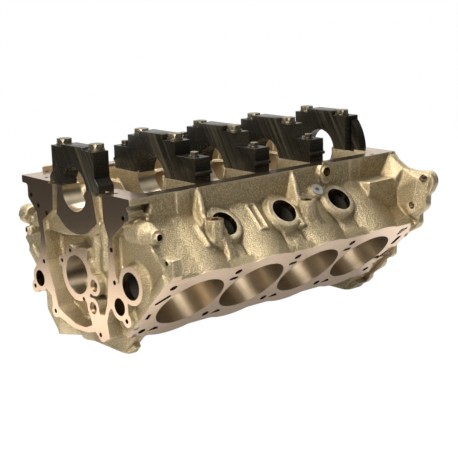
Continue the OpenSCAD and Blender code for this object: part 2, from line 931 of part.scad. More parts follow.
// Front cap: two bolts and a small foot on each side
module main_cap_1() {
    color(cap_colour) difference() {
        along_x(cap1_front, cap1_front + cap1_thick) {
            polygon([
                [-62, joint_z], [62, joint_z], [62, 12], [cap1_half, 21], [cap1_half, cap1_seat],
                [27, cap1_seat], [25, cap1_top], [-25, cap1_top], [-27, cap1_seat],
                [-cap1_half, cap1_seat], [-cap1_half, 21], [-62, 12]
            ]);
        }
        cap_holes(0);
    }
}

// Middle caps: four bolts on two steps
cap_step_y = 57;

// One end of a middle cap from the joint up to the plateau
function cap_end(foot, lip, flank) = [
    [foot, joint_z], [foot, 12], [lip, 14], [lip, 17], [flank, 18.5], [flank, cap_outer_seat],
    [cap_step_y, cap_outer_seat], [cap_step_y, cap_seat], [plateau_half, cap_seat], [plateau_half, cap_top]
];
function mirrored(points) = [for (i = [len(points) - 1 : -1 : 0]) [-points[i][0], points[i][1]]];

module middle_cap(i) {
    color(cap_colour) difference() {
        along_x(main_x[i] - bulkhead_thick / 2, main_x[i] + bulkhead_thick / 2) {
            polygon(concat(cap_end(94, 98, 95), mirrored(cap_end(101, 105.5, 102))));
        }
        cap_holes(i);
        for (side = [-1, 1]) {
            translate([main_x[i], side * outer_bolt_y, joint_z - 1]) {
                cylinder(h = cap_outer_seat + 2, r = outer_bolt_d / 2 + bolt_gap);
            }
        }
    }
}

module main_cap_2() { middle_cap(1); }
module main_cap_3() { middle_cap(2); }
module main_cap_4() { middle_cap(3); }

// Rear cap: narrow in front, with a round flank towards the bellhousing
module main_cap_5() {
    color(cap_colour) difference() {
        union() {
            along_x(rear_x - cap5_thick, rear_x) {
                translate([-cap5_half, joint_z]) square([2 * cap5_half, cap_seat - joint_z]);
                translate([-plateau_half, joint_z]) square([2 * plateau_half, cap5_top - joint_z]);
            }
            along_x(rear_x - cap5_rear_thick, rear_x) intersection() {
                circle(cap5_r);
                translate([-cap5_r, joint_z]) square([2 * cap5_r, cap_seat - joint_z]);
            }
        }
        cap_holes(4);
        rod_x(rear_x - seal_depth, rear_x + 1, 0, 0, seal_r);
    }
}

// Outline of a twelve-point head
module twelve_point(r) {
    polygon([for (i = [0 : 23]) let (a = i * 15) (i % 2 == 0 ? r : 0.897 * r) * [cos(a), sin(a)]]);
}

// Twelve-point bolt with its washer: place, seat, reach under the joint, shank and head
module cap_bolt(x, y, seat, reach, d, head_r, head_h, washer_h) {
    color(bolt_colour) translate([x, y, seat]) {
        translate([0, 0, joint_z - reach - seat]) cylinder(h = seat - joint_z + reach + 1, r = d / 2);
        cylinder(h = washer_h, r = head_r + washer_margin);
        cylinder(h = washer_h + 1, r = head_r - 1);
        translate([0, 0, washer_h + 0.8]) linear_extrude(head_h - washer_h - 0.8) twelve_point(head_r);
    }
}

module inner_bolt(i, side) {
    seat = i == 0 ? cap1_seat : cap_seat;
    cap_bolt(main_x[i], side * inner_bolt_y, seat, bolt_reach, inner_bolt_d, inner_head_r, 9, 2.4);
}

module outer_bolt(i, side) {
    reach = bolt_reach - 12;
    cap_bolt(main_x[i], side * outer_bolt_y, cap_outer_seat, reach, outer_bolt_d, outer_head_r, 6.5, 1.5);
}

module main_bolt_1_near() { inner_bolt(0, -1); }
module main_bolt_1_far() { inner_bolt(0, 1); }
module main_bolt_2_near() { inner_bolt(1, -1); }
module main_bolt_2_far() { inner_bolt(1, 1); }
module main_bolt_3_near() { inner_bolt(2, -1); }
module main_bolt_3_far() { inner_bolt(2, 1); }
module main_bolt_4_near() { inner_bolt(3, -1); }
module main_bolt_4_far() { inner_bolt(3, 1); }
module main_bolt_5_near() { inner_bolt(4, -1); }
module main_bolt_5_far() { inner_bolt(4, 1); }
module outer_bolt_2_near() { outer_bolt(1, -1); }
module outer_bolt_2_far() { outer_bolt(1, 1); }
module outer_bolt_3_near() { outer_bolt(2, -1); }
module outer_bolt_3_far() { outer_bolt(2, 1); }
module outer_bolt_4_near() { outer_bolt(3, -1); }
module outer_bolt_4_far() { outer_bolt(3, 1); }

// Plain dowels between the caps and the bulkheads
module cap_dowels() {
    color(steel_colour) for (i = [1 : 4], side = [-1, 1]) {
        translate([main_x[i], side * cap_dowel_y(i), joint_z - cap_dowel_len / 2]) {
            cylinder(h = cap_dowel_len, r = cap_dowel_r);
        }
    }
}

module deck_dowel_pair(along) {
    for (x = along) {
        translate([x, deck_dowel_y, deck_height - deck_dowel_len]) {
            cylinder(h = deck_dowel_len - 1, r = deck_dowel_r);
        }
    }
}

module deck_dowels() {
    color(steel_colour) {
        near_bank() deck_dowel_pair(near_dowel_x);
        rotate([0, 0, 180]) near_bank() deck_dowel_pair(far_dowel_x);
    }
}

bell_dowel_r = 6.3;

module bellhousing_dowels() {
    color(steel_colour) both_sides() rod_x(rear_x - 14, rear_x + 8, -165, -100, bell_dowel_r);
}

// Socket plug in the front end of an oil gallery
module gallery_plug(i) {
    color(steel_colour) difference() {
        rod_x(fx(3), fx(16), gallery_y[i], gallery_z[i], gallery_plug_r - bolt_gap);
        translate([fx(2), gallery_y[i], gallery_z[i]]) rotate([0, 90, 0]) cylinder(h = 8, r = 4.6, $fn = 6);
    }
}

module gallery_plug_upper() { gallery_plug(0); }
module gallery_plug_lower() { gallery_plug(1); }

// Socket plug with a ring flange on the side wall
module side_plug() {
    color(steel_colour) near_bank() {
        translate([side_plug_x, side_plug_seat, side_plug_d]) rotate([90, 0, 0]) difference() {
            union() {
                translate([0, 0, -3]) cylinder(h = 3, r = side_ring_r);
                translate([0, 0, -1]) cylinder(h = side_plug_depth, r = side_plug_r);
            }
            translate([0, 0, -4]) cylinder(h = 9, r = 4.4, $fn = 6);
        }
    }
}

block_casting();
main_cap_1();
main_cap_2();
main_cap_3();
main_cap_4();
main_cap_5();
main_bolt_1_near();
main_bolt_1_far();
main_bolt_2_near();
main_bolt_2_far();
main_bolt_3_near();
main_bolt_3_far();
main_bolt_4_near();
main_bolt_4_far();
main_bolt_5_near();
main_bolt_5_far();
outer_bolt_2_near();
outer_bolt_2_far();
outer_bolt_3_near();
outer_bolt_3_far();
outer_bolt_4_near();
outer_bolt_4_far();
cap_dowels();
deck_dowels();
bellhousing_dowels();
gallery_plug_upper();
gallery_plug_lower();
side_plug();
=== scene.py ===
"""Looks of a V8 engine block that stands upside down with its main bearing caps up.

The casting is made the way a foundry and a machine shop make it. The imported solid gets
machining stock on its faces and its holes filled, and is remeshed and relaxed into a cast
skin. Then its faces are milled and its holes bored, which leaves their edges sharp.
"""

import math
from typing import NamedTuple

import bmesh
import bpy
import numpy as np
from bpy.props import FloatProperty, FloatVectorProperty, IntProperty, PointerProperty
from mathutils import Matrix, Vector


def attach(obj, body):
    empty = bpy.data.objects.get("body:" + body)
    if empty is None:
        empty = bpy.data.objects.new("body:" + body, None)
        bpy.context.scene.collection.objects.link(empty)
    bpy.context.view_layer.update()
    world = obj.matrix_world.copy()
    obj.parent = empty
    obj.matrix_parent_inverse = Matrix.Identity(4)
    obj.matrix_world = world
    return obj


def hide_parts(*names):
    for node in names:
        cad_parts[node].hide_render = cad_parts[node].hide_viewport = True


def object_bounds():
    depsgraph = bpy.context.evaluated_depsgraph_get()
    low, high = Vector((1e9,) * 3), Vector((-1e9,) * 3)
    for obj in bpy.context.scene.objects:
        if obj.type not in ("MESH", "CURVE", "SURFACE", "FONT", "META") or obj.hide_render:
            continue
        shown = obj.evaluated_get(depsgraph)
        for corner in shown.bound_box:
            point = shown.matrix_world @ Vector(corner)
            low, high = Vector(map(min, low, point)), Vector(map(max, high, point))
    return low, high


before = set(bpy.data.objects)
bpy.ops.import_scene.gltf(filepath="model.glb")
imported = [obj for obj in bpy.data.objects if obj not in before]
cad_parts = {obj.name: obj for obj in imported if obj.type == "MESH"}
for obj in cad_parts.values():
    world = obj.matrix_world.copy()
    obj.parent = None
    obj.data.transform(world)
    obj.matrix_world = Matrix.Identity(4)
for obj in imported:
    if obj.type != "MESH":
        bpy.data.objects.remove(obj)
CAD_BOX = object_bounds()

bl_info = {
    "name": "Engine Block Finish",
    "version": (1, 0, 0),
    "blender": (4, 5, 0),
    "location": "3D View > Sidebar > Engine Block",
    "description": "Cast skin, machined faces, caps, bolts and studio for a V8 engine block",
    "category": "Object",
}

MM = 0.001
ROOT = "root"

# Sizes of the block, in millimetres, from the part's source
BORE_R = 52.4
BORE_PITCH = 111.25
BANK_X = -10.75
DECK_HEIGHT = 208.4
BARREL_FOOT = 71.4
HEAD_BOLT_OUT = 54.0
FRONT_X = -262.5
REAR_X = 249.5
SHIELD_X = -259.2
RAIL_Z = 5.0
JOINT_Z = 2.0
VALLEY_FOOT_Z = -226.5
MOUNT_TOP_Z = -36.0
MAIN_R = 31.0
CAM_DROP = 121.0
CAM_R = 28.0
CORE_PLUG_R = 19.05
CORE_PLUG_DEPTH = 145.0
CORE_PLUG_FACE = 79.5
BULKHEAD = 28.0
CORE_PLUG_WALL = 10.0
CHAMBER_R = 23.5
CHAMBER_DEPTH = 29.0
CHAMBER_FAR_SIDE = 36.0
FRONT_PLUG = (-130.8, -111.9)
FRONT_PLUG_WALL = 9.0
FRONT_CHAMBER_R = 22.0
FRONT_CHAMBER_DEPTH = 17.0
JACKET_FOOT = 122.0
JACKET_HEAD = 194.4
JACKET_R = 70.5
JACKET_FAR_SIDE = -62.5
LIFTER_R = 11.1
LIFTER_SIDE = 20.0
LIFTER_MOUTH = 152.0
RAIL_HOLE_R = 3.4
RAIL_HOLE_PITCH = 61.1
RAIL_HOLE_Y = 129.6
MOUNT_BOSS_Y = -163.0
MAIN_X = (FRONT_X + 17.8, -BORE_PITCH, 0.0, BORE_PITCH, REAR_X - 19.5)

NEAR_BANK = Matrix.Rotation(math.radians(135), 4, "X")
FAR_BANK = Matrix.Rotation(math.pi, 4, "Z") @ NEAR_BANK
BANKS = (NEAR_BANK, FAR_BANK)
DECK_EDGE = DECK_HEIGHT * math.sqrt(0.5)


def behind(distance):
    """X of a point that lies so many millimetres behind the front face."""
    return FRONT_X + distance


def cylinder_x(i):
    """X of cylinder i, counted from the front, in a bank's own frame."""
    return BANK_X + (i - 1.5) * BORE_PITCH


def head_bolt_x(i):
    """X of column i of the head bolts, in a bank's own frame."""
    return BANK_X + (i - 2) * BORE_PITCH


# Machining: planes that are milled, and holes that are bored or drilled
STOCK = 6.0
CUT_OVER = 14.0
FOOT_OVER = 0.6


class Hole(NamedTuple):
    """A hole: its place has its origin at the mouth and +Z out of the material."""

    place: Matrix
    outline: list
    depth: float
    over: float = CUT_OVER
    stock: float = STOCK


def circle(radius, points=24):
    return [
        (
            radius * math.cos(2 * math.pi * k / points),
            radius * math.sin(2 * math.pi * k / points),
        )
        for k in range(points)
    ]


def slot(a, b, radius, points=8):
    """Outline of a slot with round ends between two points."""
    turn = math.atan2(b[1] - a[1], b[0] - a[0])
    outline = []
    for centre, start in ((b, turn - math.pi / 2), (a, turn + math.pi / 2)):
        for k in range(points + 1):
            angle = start + math.pi * k / points
            outline.append(
                (
                    centre[0] + radius * math.cos(angle),
                    centre[1] + radius * math.sin(angle),
                )
            )
    return outline


def facing(point, direction):
    """Place at a point, with +Z along a direction."""
    turn = Vector((0, 0, 1)).rotation_difference(Vector(direction))
    return Matrix.Translation(Vector(point)) @ turn.to_matrix().to_4x4()


def front_hole(y, z, radius, depth, mouth=FRONT_X, points=24):
    return Hole(facing((mouth, y, z), (-1, 0, 0)), circle(radius, points), depth)


def deck_place(bank, x=0.0, y=0.0):
    return bank @ Matrix.Translation((x, y, DECK_HEIGHT))


def cylinder_bores():
    return [
        Hole(
            deck_place(bank, cylinder_x(i)),
            circle(BORE_R, 96),
            DECK_HEIGHT - BARREL_FOOT,
        )
        for bank in BANKS
        for i in range(4)
    ]


def bearing_bores():
    """Main bearing saddles, one hole for each bulkhead."""
    fronts = (SHIELD_X, *(x - BULKHEAD / 2 for x in MAIN_X[1:4]), REAR_X - 30)
    rears = (behind(34), *(x + BULKHEAD / 2 for x in MAIN_X[1:4]), REAR_X)
    return [
        Hole(facing((front, 0, 0), (-1, 0, 0)), circle(MAIN_R, 72), rear - front)
        for front, rear in zip(fronts, rears)
    ]


def shaft_bores():
    """Cam tunnel, rear seal seat and the distributor's hole."""
    return [
        Hole(
            facing((FRONT_X, 0, -CAM_DROP), (-1, 0, 0)),
            circle(CAM_R, 64),
            REAR_X - FRONT_X,
        ),
        Hole(facing((REAR_X, 0, 0), (1, 0, 0)), circle(46, 72), 12),
        Hole(facing((behind(50), 22, VALLEY_FOOT_Z), (0, 0, -1)), circle(16, 48), 91),
    ]


def deck_holes():
    """Head bolt holes, dowel holes and coolant passages of both decks."""
    holes = []
    for bank in BANKS:
        for i in range(5):
            for side in (-HEAD_BOLT_OUT, HEAD_BOLT_OUT):
                holes.append(
                    Hole(deck_place(bank, head_bolt_x(i), side), circle(5.6), 44)
                )
        outlines = [
            slot((head_bolt_x(i) - 3, 37), (head_bolt_x(i) + 5, 37.5), 3.4)
            for i in (1, 2, 3)
        ]
        for i in range(4):
            x = head_bolt_x(i) + 21
            outlines.append(
                [
                    (x - 10, -59),
                    (x + 9, -59),
                    (x + 5, -53),
                    (x, -50.5),
                    (x - 5, -54),
                ]
            )
        outlines += [
            slot((behind(19), 20), (behind(32), 33), 3.4),
            [
                (behind(18), -6),
                (behind(24), -8),
                (behind(24), -21),
                (behind(18), -19),
            ],
            slot((REAR_X - 29, 18), (REAR_X - 28, 32), 4.4),
            slot((REAR_X - 33, -23), (REAR_X - 25, -8), 3.2),
            slot((REAR_X - 39, 46), (REAR_X - 32, 57), 3.6),
        ]
        holes += [Hole(deck_place(bank), outline, 15) for outline in outlines]
    for bank, along in (
        (NEAR_BANK, (behind(14.5), REAR_X - 27)),
        (FAR_BANK, (14.5 - REAR_X, -FRONT_X - 36)),
    ):
        holes += [Hole(deck_place(bank, x, -40.5), circle(4.3), 12) for x in along]
    return holes


def lifter_bores():
    holes = []
    for bank in BANKS:
        for i in range(4):
            for side in (-LIFTER_SIDE, LIFTER_SIDE):
                out = -DECK_EDGE * CAM_DROP / DECK_HEIGHT
                middle = Matrix.Translation((cylinder_x(i) + side, out, LIFTER_MOUTH))
                holes.append(Hole(bank @ middle, circle(LIFTER_R, 32), 56))
    return holes


def bank_side(bank, x, out, deep):
    """Place beside the cylinders of a bank, facing away from them."""
    middle = Matrix.Translation((x, out, deep))
    return bank @ middle @ Matrix.Rotation(-math.pi / 2, 4, "X")


def plug_places(out):
    """Places on the axes of the six core plug holes."""
    return [
        bank_side(bank, BANK_X + j * BORE_PITCH, out, CORE_PLUG_DEPTH)
        for bank in BANKS
        for j in (-1, 0, 1)
    ]


def plug_chambers():
    """Wide chambers of the water jacket behind the core plug holes."""
    chambers = [
        Hole(place, circle(CHAMBER_R, 48), CHAMBER_DEPTH, 0.0)
        for place in plug_places(CORE_PLUG_FACE - CORE_PLUG_WALL)
    ]
    place = facing((behind(FRONT_PLUG_WALL), *FRONT_PLUG), (-1, 0, 0))
    outline = circle(FRONT_CHAMBER_R, 48)
    return [*chambers, Hole(place, outline, FRONT_CHAMBER_DEPTH, 0.0)]


def core_plug_holes():
    return [
        front_hole(*FRONT_PLUG, CORE_PLUG_R, FRONT_PLUG_WALL, points=48),
        *(
            Hole(mouth, circle(CORE_PLUG_R, 48), CORE_PLUG_WALL, 1.5, 0.0)
            for mouth in plug_places(CORE_PLUG_FACE)
        ),
    ]


def mount_places():
    """Tops of the four bosses of the engine mounts."""
    return [
        Matrix.Translation((turn * x, turn * MOUNT_BOSS_Y, MOUNT_TOP_Z))
        for x in (behind(120), behind(295))
        for turn in (1, -1)
    ]


def front_holes():
    """Holes of the timing flange, the cam's thrust plate and the water ports."""
    flange = (
        (-89.9, -69.6),
        (-93.3, -114.3),
        (-117.8, -162.9),
        (-52.2, -197.4),
        (64.5, -188.3),
        (88.6, -117.8),
        (118.8, -160.8),
        (72, -43),
        (-120.7, -22),
        (112.3, -22),
        (94.1, -34.8),
    )
    holes = [front_hole(y, z, 3.4, 16) for y, z in flange]
    thrust = ((37.6, -106.7), (14.2, -88.2), (-14.3, -153.5))
    holes += [front_hole(y, z, 3, 17) for y, z in thrust]
    holes += [front_hole(y, z, 8.7, 30) for y, z in ((-41.9, -128.9), (-37.2, -161.9))]
    holes += [
        front_hole(side * 102.7, -146.1, 12.3, depth, points=40)
        for side, depth in ((-1, 24), (1, 42))
    ]
    holes.append(front_hole(138.4, -79, 3.6, 15, mouth=behind(5)))
    holes.append(front_hole(-195.8, -71, 3.3, 12, mouth=behind(14)))
    return holes


def rail_hole(x, y):
    return Hole(facing((x, y, RAIL_Z), (0, 0, 1)), circle(RAIL_HOLE_R), 18)


def side_holes():
    """Holes of the pan rails, bellhousing flange, mount bosses and small fittings."""
    rail = [
        (behind(38.7) + i * RAIL_HOLE_PITCH, side * RAIL_HOLE_Y)
        for i in range(8)
        for side in (-1, 1)
    ]
    holes = [rail_hole(x, y) for x, y in rail]
    for side in (-1, 1):
        for y, z in ((209, -27.5), (188.5, -72), (131, -158)):
            place = facing((REAR_X, side * y, z), (1, 0, 0))
            holes.append(Hole(place, circle(5.8), 20))
    holes += [Hole(place, circle(5.4), 30) for place in mount_places()]
    holes += [
        Hole(facing((behind(18), -172, -42), (0, -1, 0)), circle(4.4), 17),
        Hole(facing((behind(350.5), -143, -5), (0, -1, 0)), circle(7), 11),
        Hole(bank_side(NEAR_BANK, behind(331.5), 80, 123), circle(8.3, 32), 11, 3.0, 0.0),
    ]
    return holes + [rail_hole(behind(13.3), side * 88) for side in (-1, 1)]


def slab(place, low, high):
    """Box between two corners, as a hole whose mouth is its top."""
    outline = [(low[0], low[1]), (high[0], low[1]), (high[0], high[1]), (low[0], high[1])]
    top = place @ Matrix.Translation((0, 0, high[2]))
    return Hole(top, outline, high[2] - low[2], 0.0)


def milled_slabs():
    """What the milling cutters take away, one slab for each face."""
    row = Matrix.Identity(4)
    reach = 330
    slabs = [
        slab(NEAR_BANK, (FRONT_X - 8, -92, DECK_HEIGHT), (238.1, 92, 235)),
        slab(FAR_BANK, (-REAR_X - 8, -92, DECK_HEIGHT), (238.1, 92, 235)),
        slab(row, (FRONT_X - 20, -142, RAIL_Z), (REAR_X + 20, 142, 30)),
        slab(row, (FRONT_X - 30, -reach, -reach), (FRONT_X, reach, reach)),
        slab(row, (REAR_X, -reach, -reach), (REAR_X + 30, reach, reach)),
        slab(row, (-reach, -reach, VALLEY_FOOT_Z - 20), (reach, reach, VALLEY_FOOT_Z)),
        # the shield, beside the flange's strips: outline in Z and Y
        Hole(
            facing((SHIELD_X, 0, 0), (-1, 0, 0)),
            [(9, -60), (9, 46), (5, 46), (-35, 51.6), (-44, 56), (-68, 60), (-68, -60)],
            0.0,
            8.0,
        ),
        slab(row, (FRONT_X - 4, -62, JOINT_Z), (FRONT_X + 39, 62, 12)),
        slab(row, (REAR_X - 31, -77, JOINT_Z), (REAR_X + 9, 77, 12)),
    ]
    for x in MAIN_X[1:4]:
        slabs.append(
            slab(row, (x - BULKHEAD / 2 - 1, -115.3, JOINT_Z), (x + 15, 115.3, 12))
        )
    for place in mount_places():
        top = place @ Matrix.Translation((0, 0, 9))
        slabs.append(Hole(top, circle(13.2, 32), 9, 0.0))
    return slabs


# Faces that carry machining stock: normal and distance from the origin
HALF = math.sqrt(0.5)
MILLED_PLANES = (
    ((0, -HALF, -HALF), DECK_HEIGHT),
    ((0, HALF, -HALF), DECK_HEIGHT),
    ((0, 0, 1), RAIL_Z),
    ((0, 0, 1), JOINT_Z),
    ((-1, 0, 0), -FRONT_X),
    ((-1, 0, 0), -SHIELD_X),
    ((1, 0, 0), REAR_X),
    ((0, 0, -1), -VALLEY_FOOT_Z),
    ((0, 0, 1), MOUNT_TOP_Z),
)


# Mesh work
def prism(place, outline, low, high):
    """Closed prism over an outline, between two heights of a place, in metres."""
    area = sum(
        a[0] * b[1] - b[0] * a[1] for a, b in zip(outline, outline[1:] + outline[:1])
    )
    loop = outline if area > 0 else outline[::-1]
    count = len(loop)
    points = [place @ Vector((x, y, z)) * MM for z in (low, high) for x, y in loop]
    faces = [list(range(count))[::-1], [count + k for k in range(count)]]
    for k in range(count):
        after = (k + 1) % count
        faces.append([k, after, count + after, count + k])
    return points, faces


def join(parts):
    """One list of points and one of faces from several."""
    points, faces = [], []
    for part_points, part_faces in parts:
        base = len(points)
        points.extend(part_points)
        faces.extend([[base + index for index in face] for face in part_faces])
    return points, faces


def mesh_from(name, points, faces):
    mesh = bpy.data.meshes.new(name)
    mesh.from_pydata([tuple(p) for p in points], [], faces)
    mesh.update()
    return mesh


def points_of(mesh):
    flat = np.empty(len(mesh.vertices) * 3)
    mesh.vertices.foreach_get("co", flat)
    return flat.reshape(-1, 3)


def face_geometry(mesh):
    """Centre and normal of each face."""
    count = len(mesh.polygons)
    centres, normals = np.empty(count * 3), np.empty(count * 3)
    mesh.polygons.foreach_get("center", centres)
    mesh.polygons.foreach_get("normal", normals)
    return centres.reshape(-1, 3), normals.reshape(-1, 3)


def on_plane(centres, normals, plane, tolerance=0.08):
    normal, distance = np.array(plane[0]), plane[1]
    return (normals @ normal > 0.998) & (
        np.abs(centres @ normal / MM - distance) < tolerance
    )


def stock_on(mesh):
    """Prisms of machining stock on every face of the solid that is milled later."""
    centres, normals = face_geometry(mesh)
    corners = points_of(mesh)
    parts = []
    for plane in MILLED_PLANES:
        lift = Vector(plane[0]) * STOCK * MM
        sink = Vector(plane[0]) * -1.0 * MM
        for index in np.flatnonzero(on_plane(centres, normals, plane)):
            loop = [Vector(corners[v]) for v in mesh.polygons[index].vertices]
            count = len(loop)
            sides = [
                [k, (k + 1) % count, count + (k + 1) % count, count + k]
                for k in range(count)
            ]
            parts.append(
                (
                    [p + sink for p in loop] + [p + lift for p in loop],
                    [list(range(count))[::-1], list(range(count, 2 * count)), *sides],
                )
            )
    return parts


def evaluated(mesh, add_modifier):
    """New mesh from a mesh and one modifier that the given function sets up."""
    holder = bpy.data.objects.new("work_piece", mesh)
    bpy.context.scene.collection.objects.link(holder)
    add_modifier(holder.modifiers)
    graph = bpy.context.evaluated_depsgraph_get()
    result = bpy.data.meshes.new_from_object(holder.evaluated_get(graph))
    bpy.data.objects.remove(holder)
    return result


def remeshed(mesh, voxel):
    def add_modifier(modifiers):
        remesh = modifiers.new("skin", "REMESH")
        remesh.mode = "VOXEL"
        remesh.voxel_size = voxel
        remesh.use_smooth_shade = True

    return evaluated(mesh, add_modifier)


def relax(mesh, rounds, inward_share):
    """Rounds corners as sand does. Outer corners give way less than inner ones fill."""
    points = points_of(mesh)
    edges = np.empty(len(mesh.edges) * 2, np.int64)
    mesh.edges.foreach_get("vertices", edges)
    first, second = edges[0::2], edges[1::2]
    ends = np.concatenate([first, second])
    others = np.concatenate([second, first])
    count = np.maximum(np.bincount(ends, minlength=len(points)), 1)[:, None]
    normals = np.empty(len(points) * 3)
    mesh.vertex_normals.foreach_get("vector", normals)
    normals = normals.reshape(-1, 3)
    for _ in range(rounds):
        mean = (
            np.stack(
                [
                    np.bincount(ends, points[others, axis], minlength=len(points))
                    for axis in range(3)
                ],
                axis=1,
            )
            / count
        )
        step = mean - points
        inward = (step * normals).sum(1) < 0
        points = points + 0.5 * step * np.where(inward, inward_share, 1.0)[:, None]
    mesh.vertices.foreach_set("co", points.ravel())
    mesh.update()


def cut(mesh, holes):
    """The mesh with a set of holes that don't meet each other cut out of it."""
    parts = [
        prism(hole.place, hole.outline, -hole.depth - FOOT_OVER, hole.over)
        for hole in holes
    ]
    return difference(mesh, parts)


def difference(mesh, parts):
    tool = bpy.data.objects.new("tool", mesh_from("tool", *join(parts)))
    bpy.context.scene.collection.objects.link(tool)

    def add_modifier(modifiers):
        boolean = modifiers.new("cut", "BOOLEAN")
        boolean.operation = "DIFFERENCE"
        boolean.solver = "MANIFOLD"
        boolean.object = tool

    result = evaluated(mesh, add_modifier)
    bpy.data.objects.remove(tool)
    if len(result.polygons) in (0, len(mesh.polygons)):
        raise RuntimeError("a machining cut left the casting empty or as it was")
    return result


def thinned(mesh, most_faces):
    triangles = sum(len(p.vertices) - 2 for p in mesh.polygons)

    def add_modifier(modifiers):
        decimate = modifiers.new("thin", "DECIMATE")
        decimate.ratio = min(1.0, most_faces / triangles)

    return evaluated(mesh, add_modifier)


def welded_copy(node, sharp_degrees=0.6):
    """Copy of a CAD node's mesh with shared corners and whole flat faces."""
    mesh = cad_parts[node].data.copy()
    work = bmesh.new()
    work.from_mesh(mesh)
    bmesh.ops.remove_doubles(work, verts=work.verts, dist=1e-6)
    bmesh.ops.dissolve_limit(
        work,
        angle_limit=math.radians(sharp_degrees),
        verts=work.verts,
        edges=work.edges,
    )
    work.to_mesh(mesh)
    work.free()
    mesh.materials.clear()
    return mesh


def place_piece(name, mesh, nodes):
    """Shows a mesh in place of CAD nodes, riding on the block."""
    piece = bpy.data.objects.new(name, mesh)
    bpy.context.scene.collection.objects.link(piece)
    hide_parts(*nodes)
    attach(piece, ROOT)
    return piece


# Shader nodes
def fill(tree, socket, value):
    """Links a socket to another one, or sets its value."""
    if isinstance(value, bpy.types.NodeSocket):
        tree.links.new(value, socket)
    else:
        socket.default_value = value


def add_node(tree, kind, links=None, **settings):
    """Adds a node, sets its properties, and fills its inputs with values or sockets."""
    made = tree.nodes.new(kind)
    for key, value in settings.items():
        setattr(made, key, value)
    for key, value in (links or {}).items():
        fill(tree, made.inputs[key], value)
    return made


def maths(tree, operation, a, b=0.0, clamp=False):
    made = add_node(
        tree, "ShaderNodeMath", {0: a, 1: b}, operation=operation, use_clamp=clamp
    )
    return made.outputs[0]


def spread(tree, value, low, high, to_low=0.0, to_high=1.0):
    """Maps a value's range to another one, and holds it there."""
    made = add_node(
        tree,
        "ShaderNodeMapRange",
        {
            "Value": value,
            "From Min": low,
            "From Max": high,
            "To Min": to_low,
            "To Max": to_high,
        },
    )
    return made.outputs["Result"]


def times(tree, a, b):
    """Product of two numbers or sockets."""
    return maths(tree, "MULTIPLY", a, b)


def blend_colours(tree, share, a, b):
    """Colour that goes from a to b as the share goes from 0 to 1."""
    made = add_node(tree, "ShaderNodeMix", data_type="RGBA", clamp_factor=True)
    fill(tree, made.inputs[0], share)
    for index, colour in ((6, a), (7, b)):
        is_link = isinstance(colour, bpy.types.NodeSocket)
        fill(tree, made.inputs[index], colour if is_link else (*colour[:3], 1.0))
    return made.outputs[2]


def noise(tree, vector, scale, detail=3.0, roughness=0.55):
    made = add_node(
        tree,
        "ShaderNodeTexNoise",
        {"Vector": vector, "Scale": scale, "Detail": detail, "Roughness": roughness},
    )
    return made.outputs["Fac"]


def new_group(name, inputs, outputs):
    """Empty node group with named float or vector inputs and outputs."""
    tree = bpy.data.node_groups.new(name, "ShaderNodeTree")
    for label, kind, default in inputs:
        socket = tree.interface.new_socket(
            name=label, in_out="INPUT", socket_type=kind
        )
        if default is not None:
            socket.default_value = default
    for label, kind in outputs:
        tree.interface.new_socket(name=label, in_out="OUTPUT", socket_type=kind)
    return tree, tree.nodes.new("NodeGroupInput"), tree.nodes.new("NodeGroupOutput")


def cast_grain_group():
    """Fine sand texture: a height, and a mask of the brightest grains."""
    tree, taken, given = new_group(
        "Cast Grain",
        [
            ("Position", "NodeSocketVector", None),
            ("Grains per Metre", "NodeSocketFloat", 900.0),
        ],
        [
            ("Height", "NodeSocketFloat"),
            ("Grains", "NodeSocketFloat"),
            ("Mottle", "NodeSocketFloat"),
        ],
    )
    position, scale = taken.outputs["Position"], taken.outputs["Grains per Metre"]
    fine = noise(tree, position, scale, 2.0, 0.6)
    coarse = noise(tree, position, times(tree, scale, 0.3), 3.0, 0.6)
    height = maths(
        tree,
        "ADD",
        times(tree, fine, 0.75),
        times(tree, coarse, 0.25),
    )
    mottle = noise(tree, position, times(tree, scale, 0.02), 3.0, 0.6)
    tree.links.new(height, given.inputs["Height"])
    tree.links.new(spread(tree, fine, 0.54, 0.7), given.inputs["Grains"])
    tree.links.new(spread(tree, mottle, 0.35, 0.65), given.inputs["Mottle"])
    return tree


def tool_mark_group():
    """Lines that a cutter leaves: noise drawn out along one direction."""
    tree, taken, given = new_group(
        "Tool Marks",
        [
            ("Position", "NodeSocketVector", None),
            ("Turn", "NodeSocketVector", None),
            ("Stretch", "NodeSocketVector", (1.0, 1.0, 1.0)),
        ],
        [("Height", "NodeSocketFloat"), ("Streaks", "NodeSocketFloat")],
    )
    turned = add_node(
        tree,
        "ShaderNodeVectorRotate",
        {"Vector": taken.outputs["Position"], "Rotation": taken.outputs["Turn"]},
        rotation_type="EULER_XYZ",
    )
    placed = add_node(
        tree,
        "ShaderNodeVectorMath",
        {0: turned.outputs["Vector"], 1: taken.outputs["Stretch"]},
        operation="MULTIPLY",
    )
    lines = noise(tree, placed.outputs["Vector"], 1.0, 2.0, 0.65)
    broad = noise(tree, placed.outputs["Vector"], 0.3, 2.0, 0.5)
    tree.links.new(lines, given.inputs["Height"])
    tree.links.new(
        spread(tree, times(tree, lines, broad), 0.2, 0.42),
        given.inputs["Streaks"],
    )
    return tree


def painted_light_mask_group():
    """Where the surface turns: a mask of outer edges for painted highlight, and one of inner
    corners for painted shade.
    """
    tree, taken, given = new_group(
        "Painted Edge Highlight and Corner Shade",
        [("Reach", "NodeSocketFloat", 0.03)],
        [("Edges", "NodeSocketFloat"), ("Corners", "NodeSocketFloat")],
    )
    turn = maths(
        tree,
        "SUBTRACT",
        add_node(tree, "ShaderNodeNewGeometry").outputs["Pointiness"],
        0.5,
    )
    over = maths(tree, "DIVIDE", turn, taken.outputs["Reach"])
    tree.links.new(spread(tree, over, 0.15, 1.0), given.inputs["Edges"])
    tree.links.new(spread(tree, over, -0.1, -1.0), given.inputs["Corners"])
    return tree


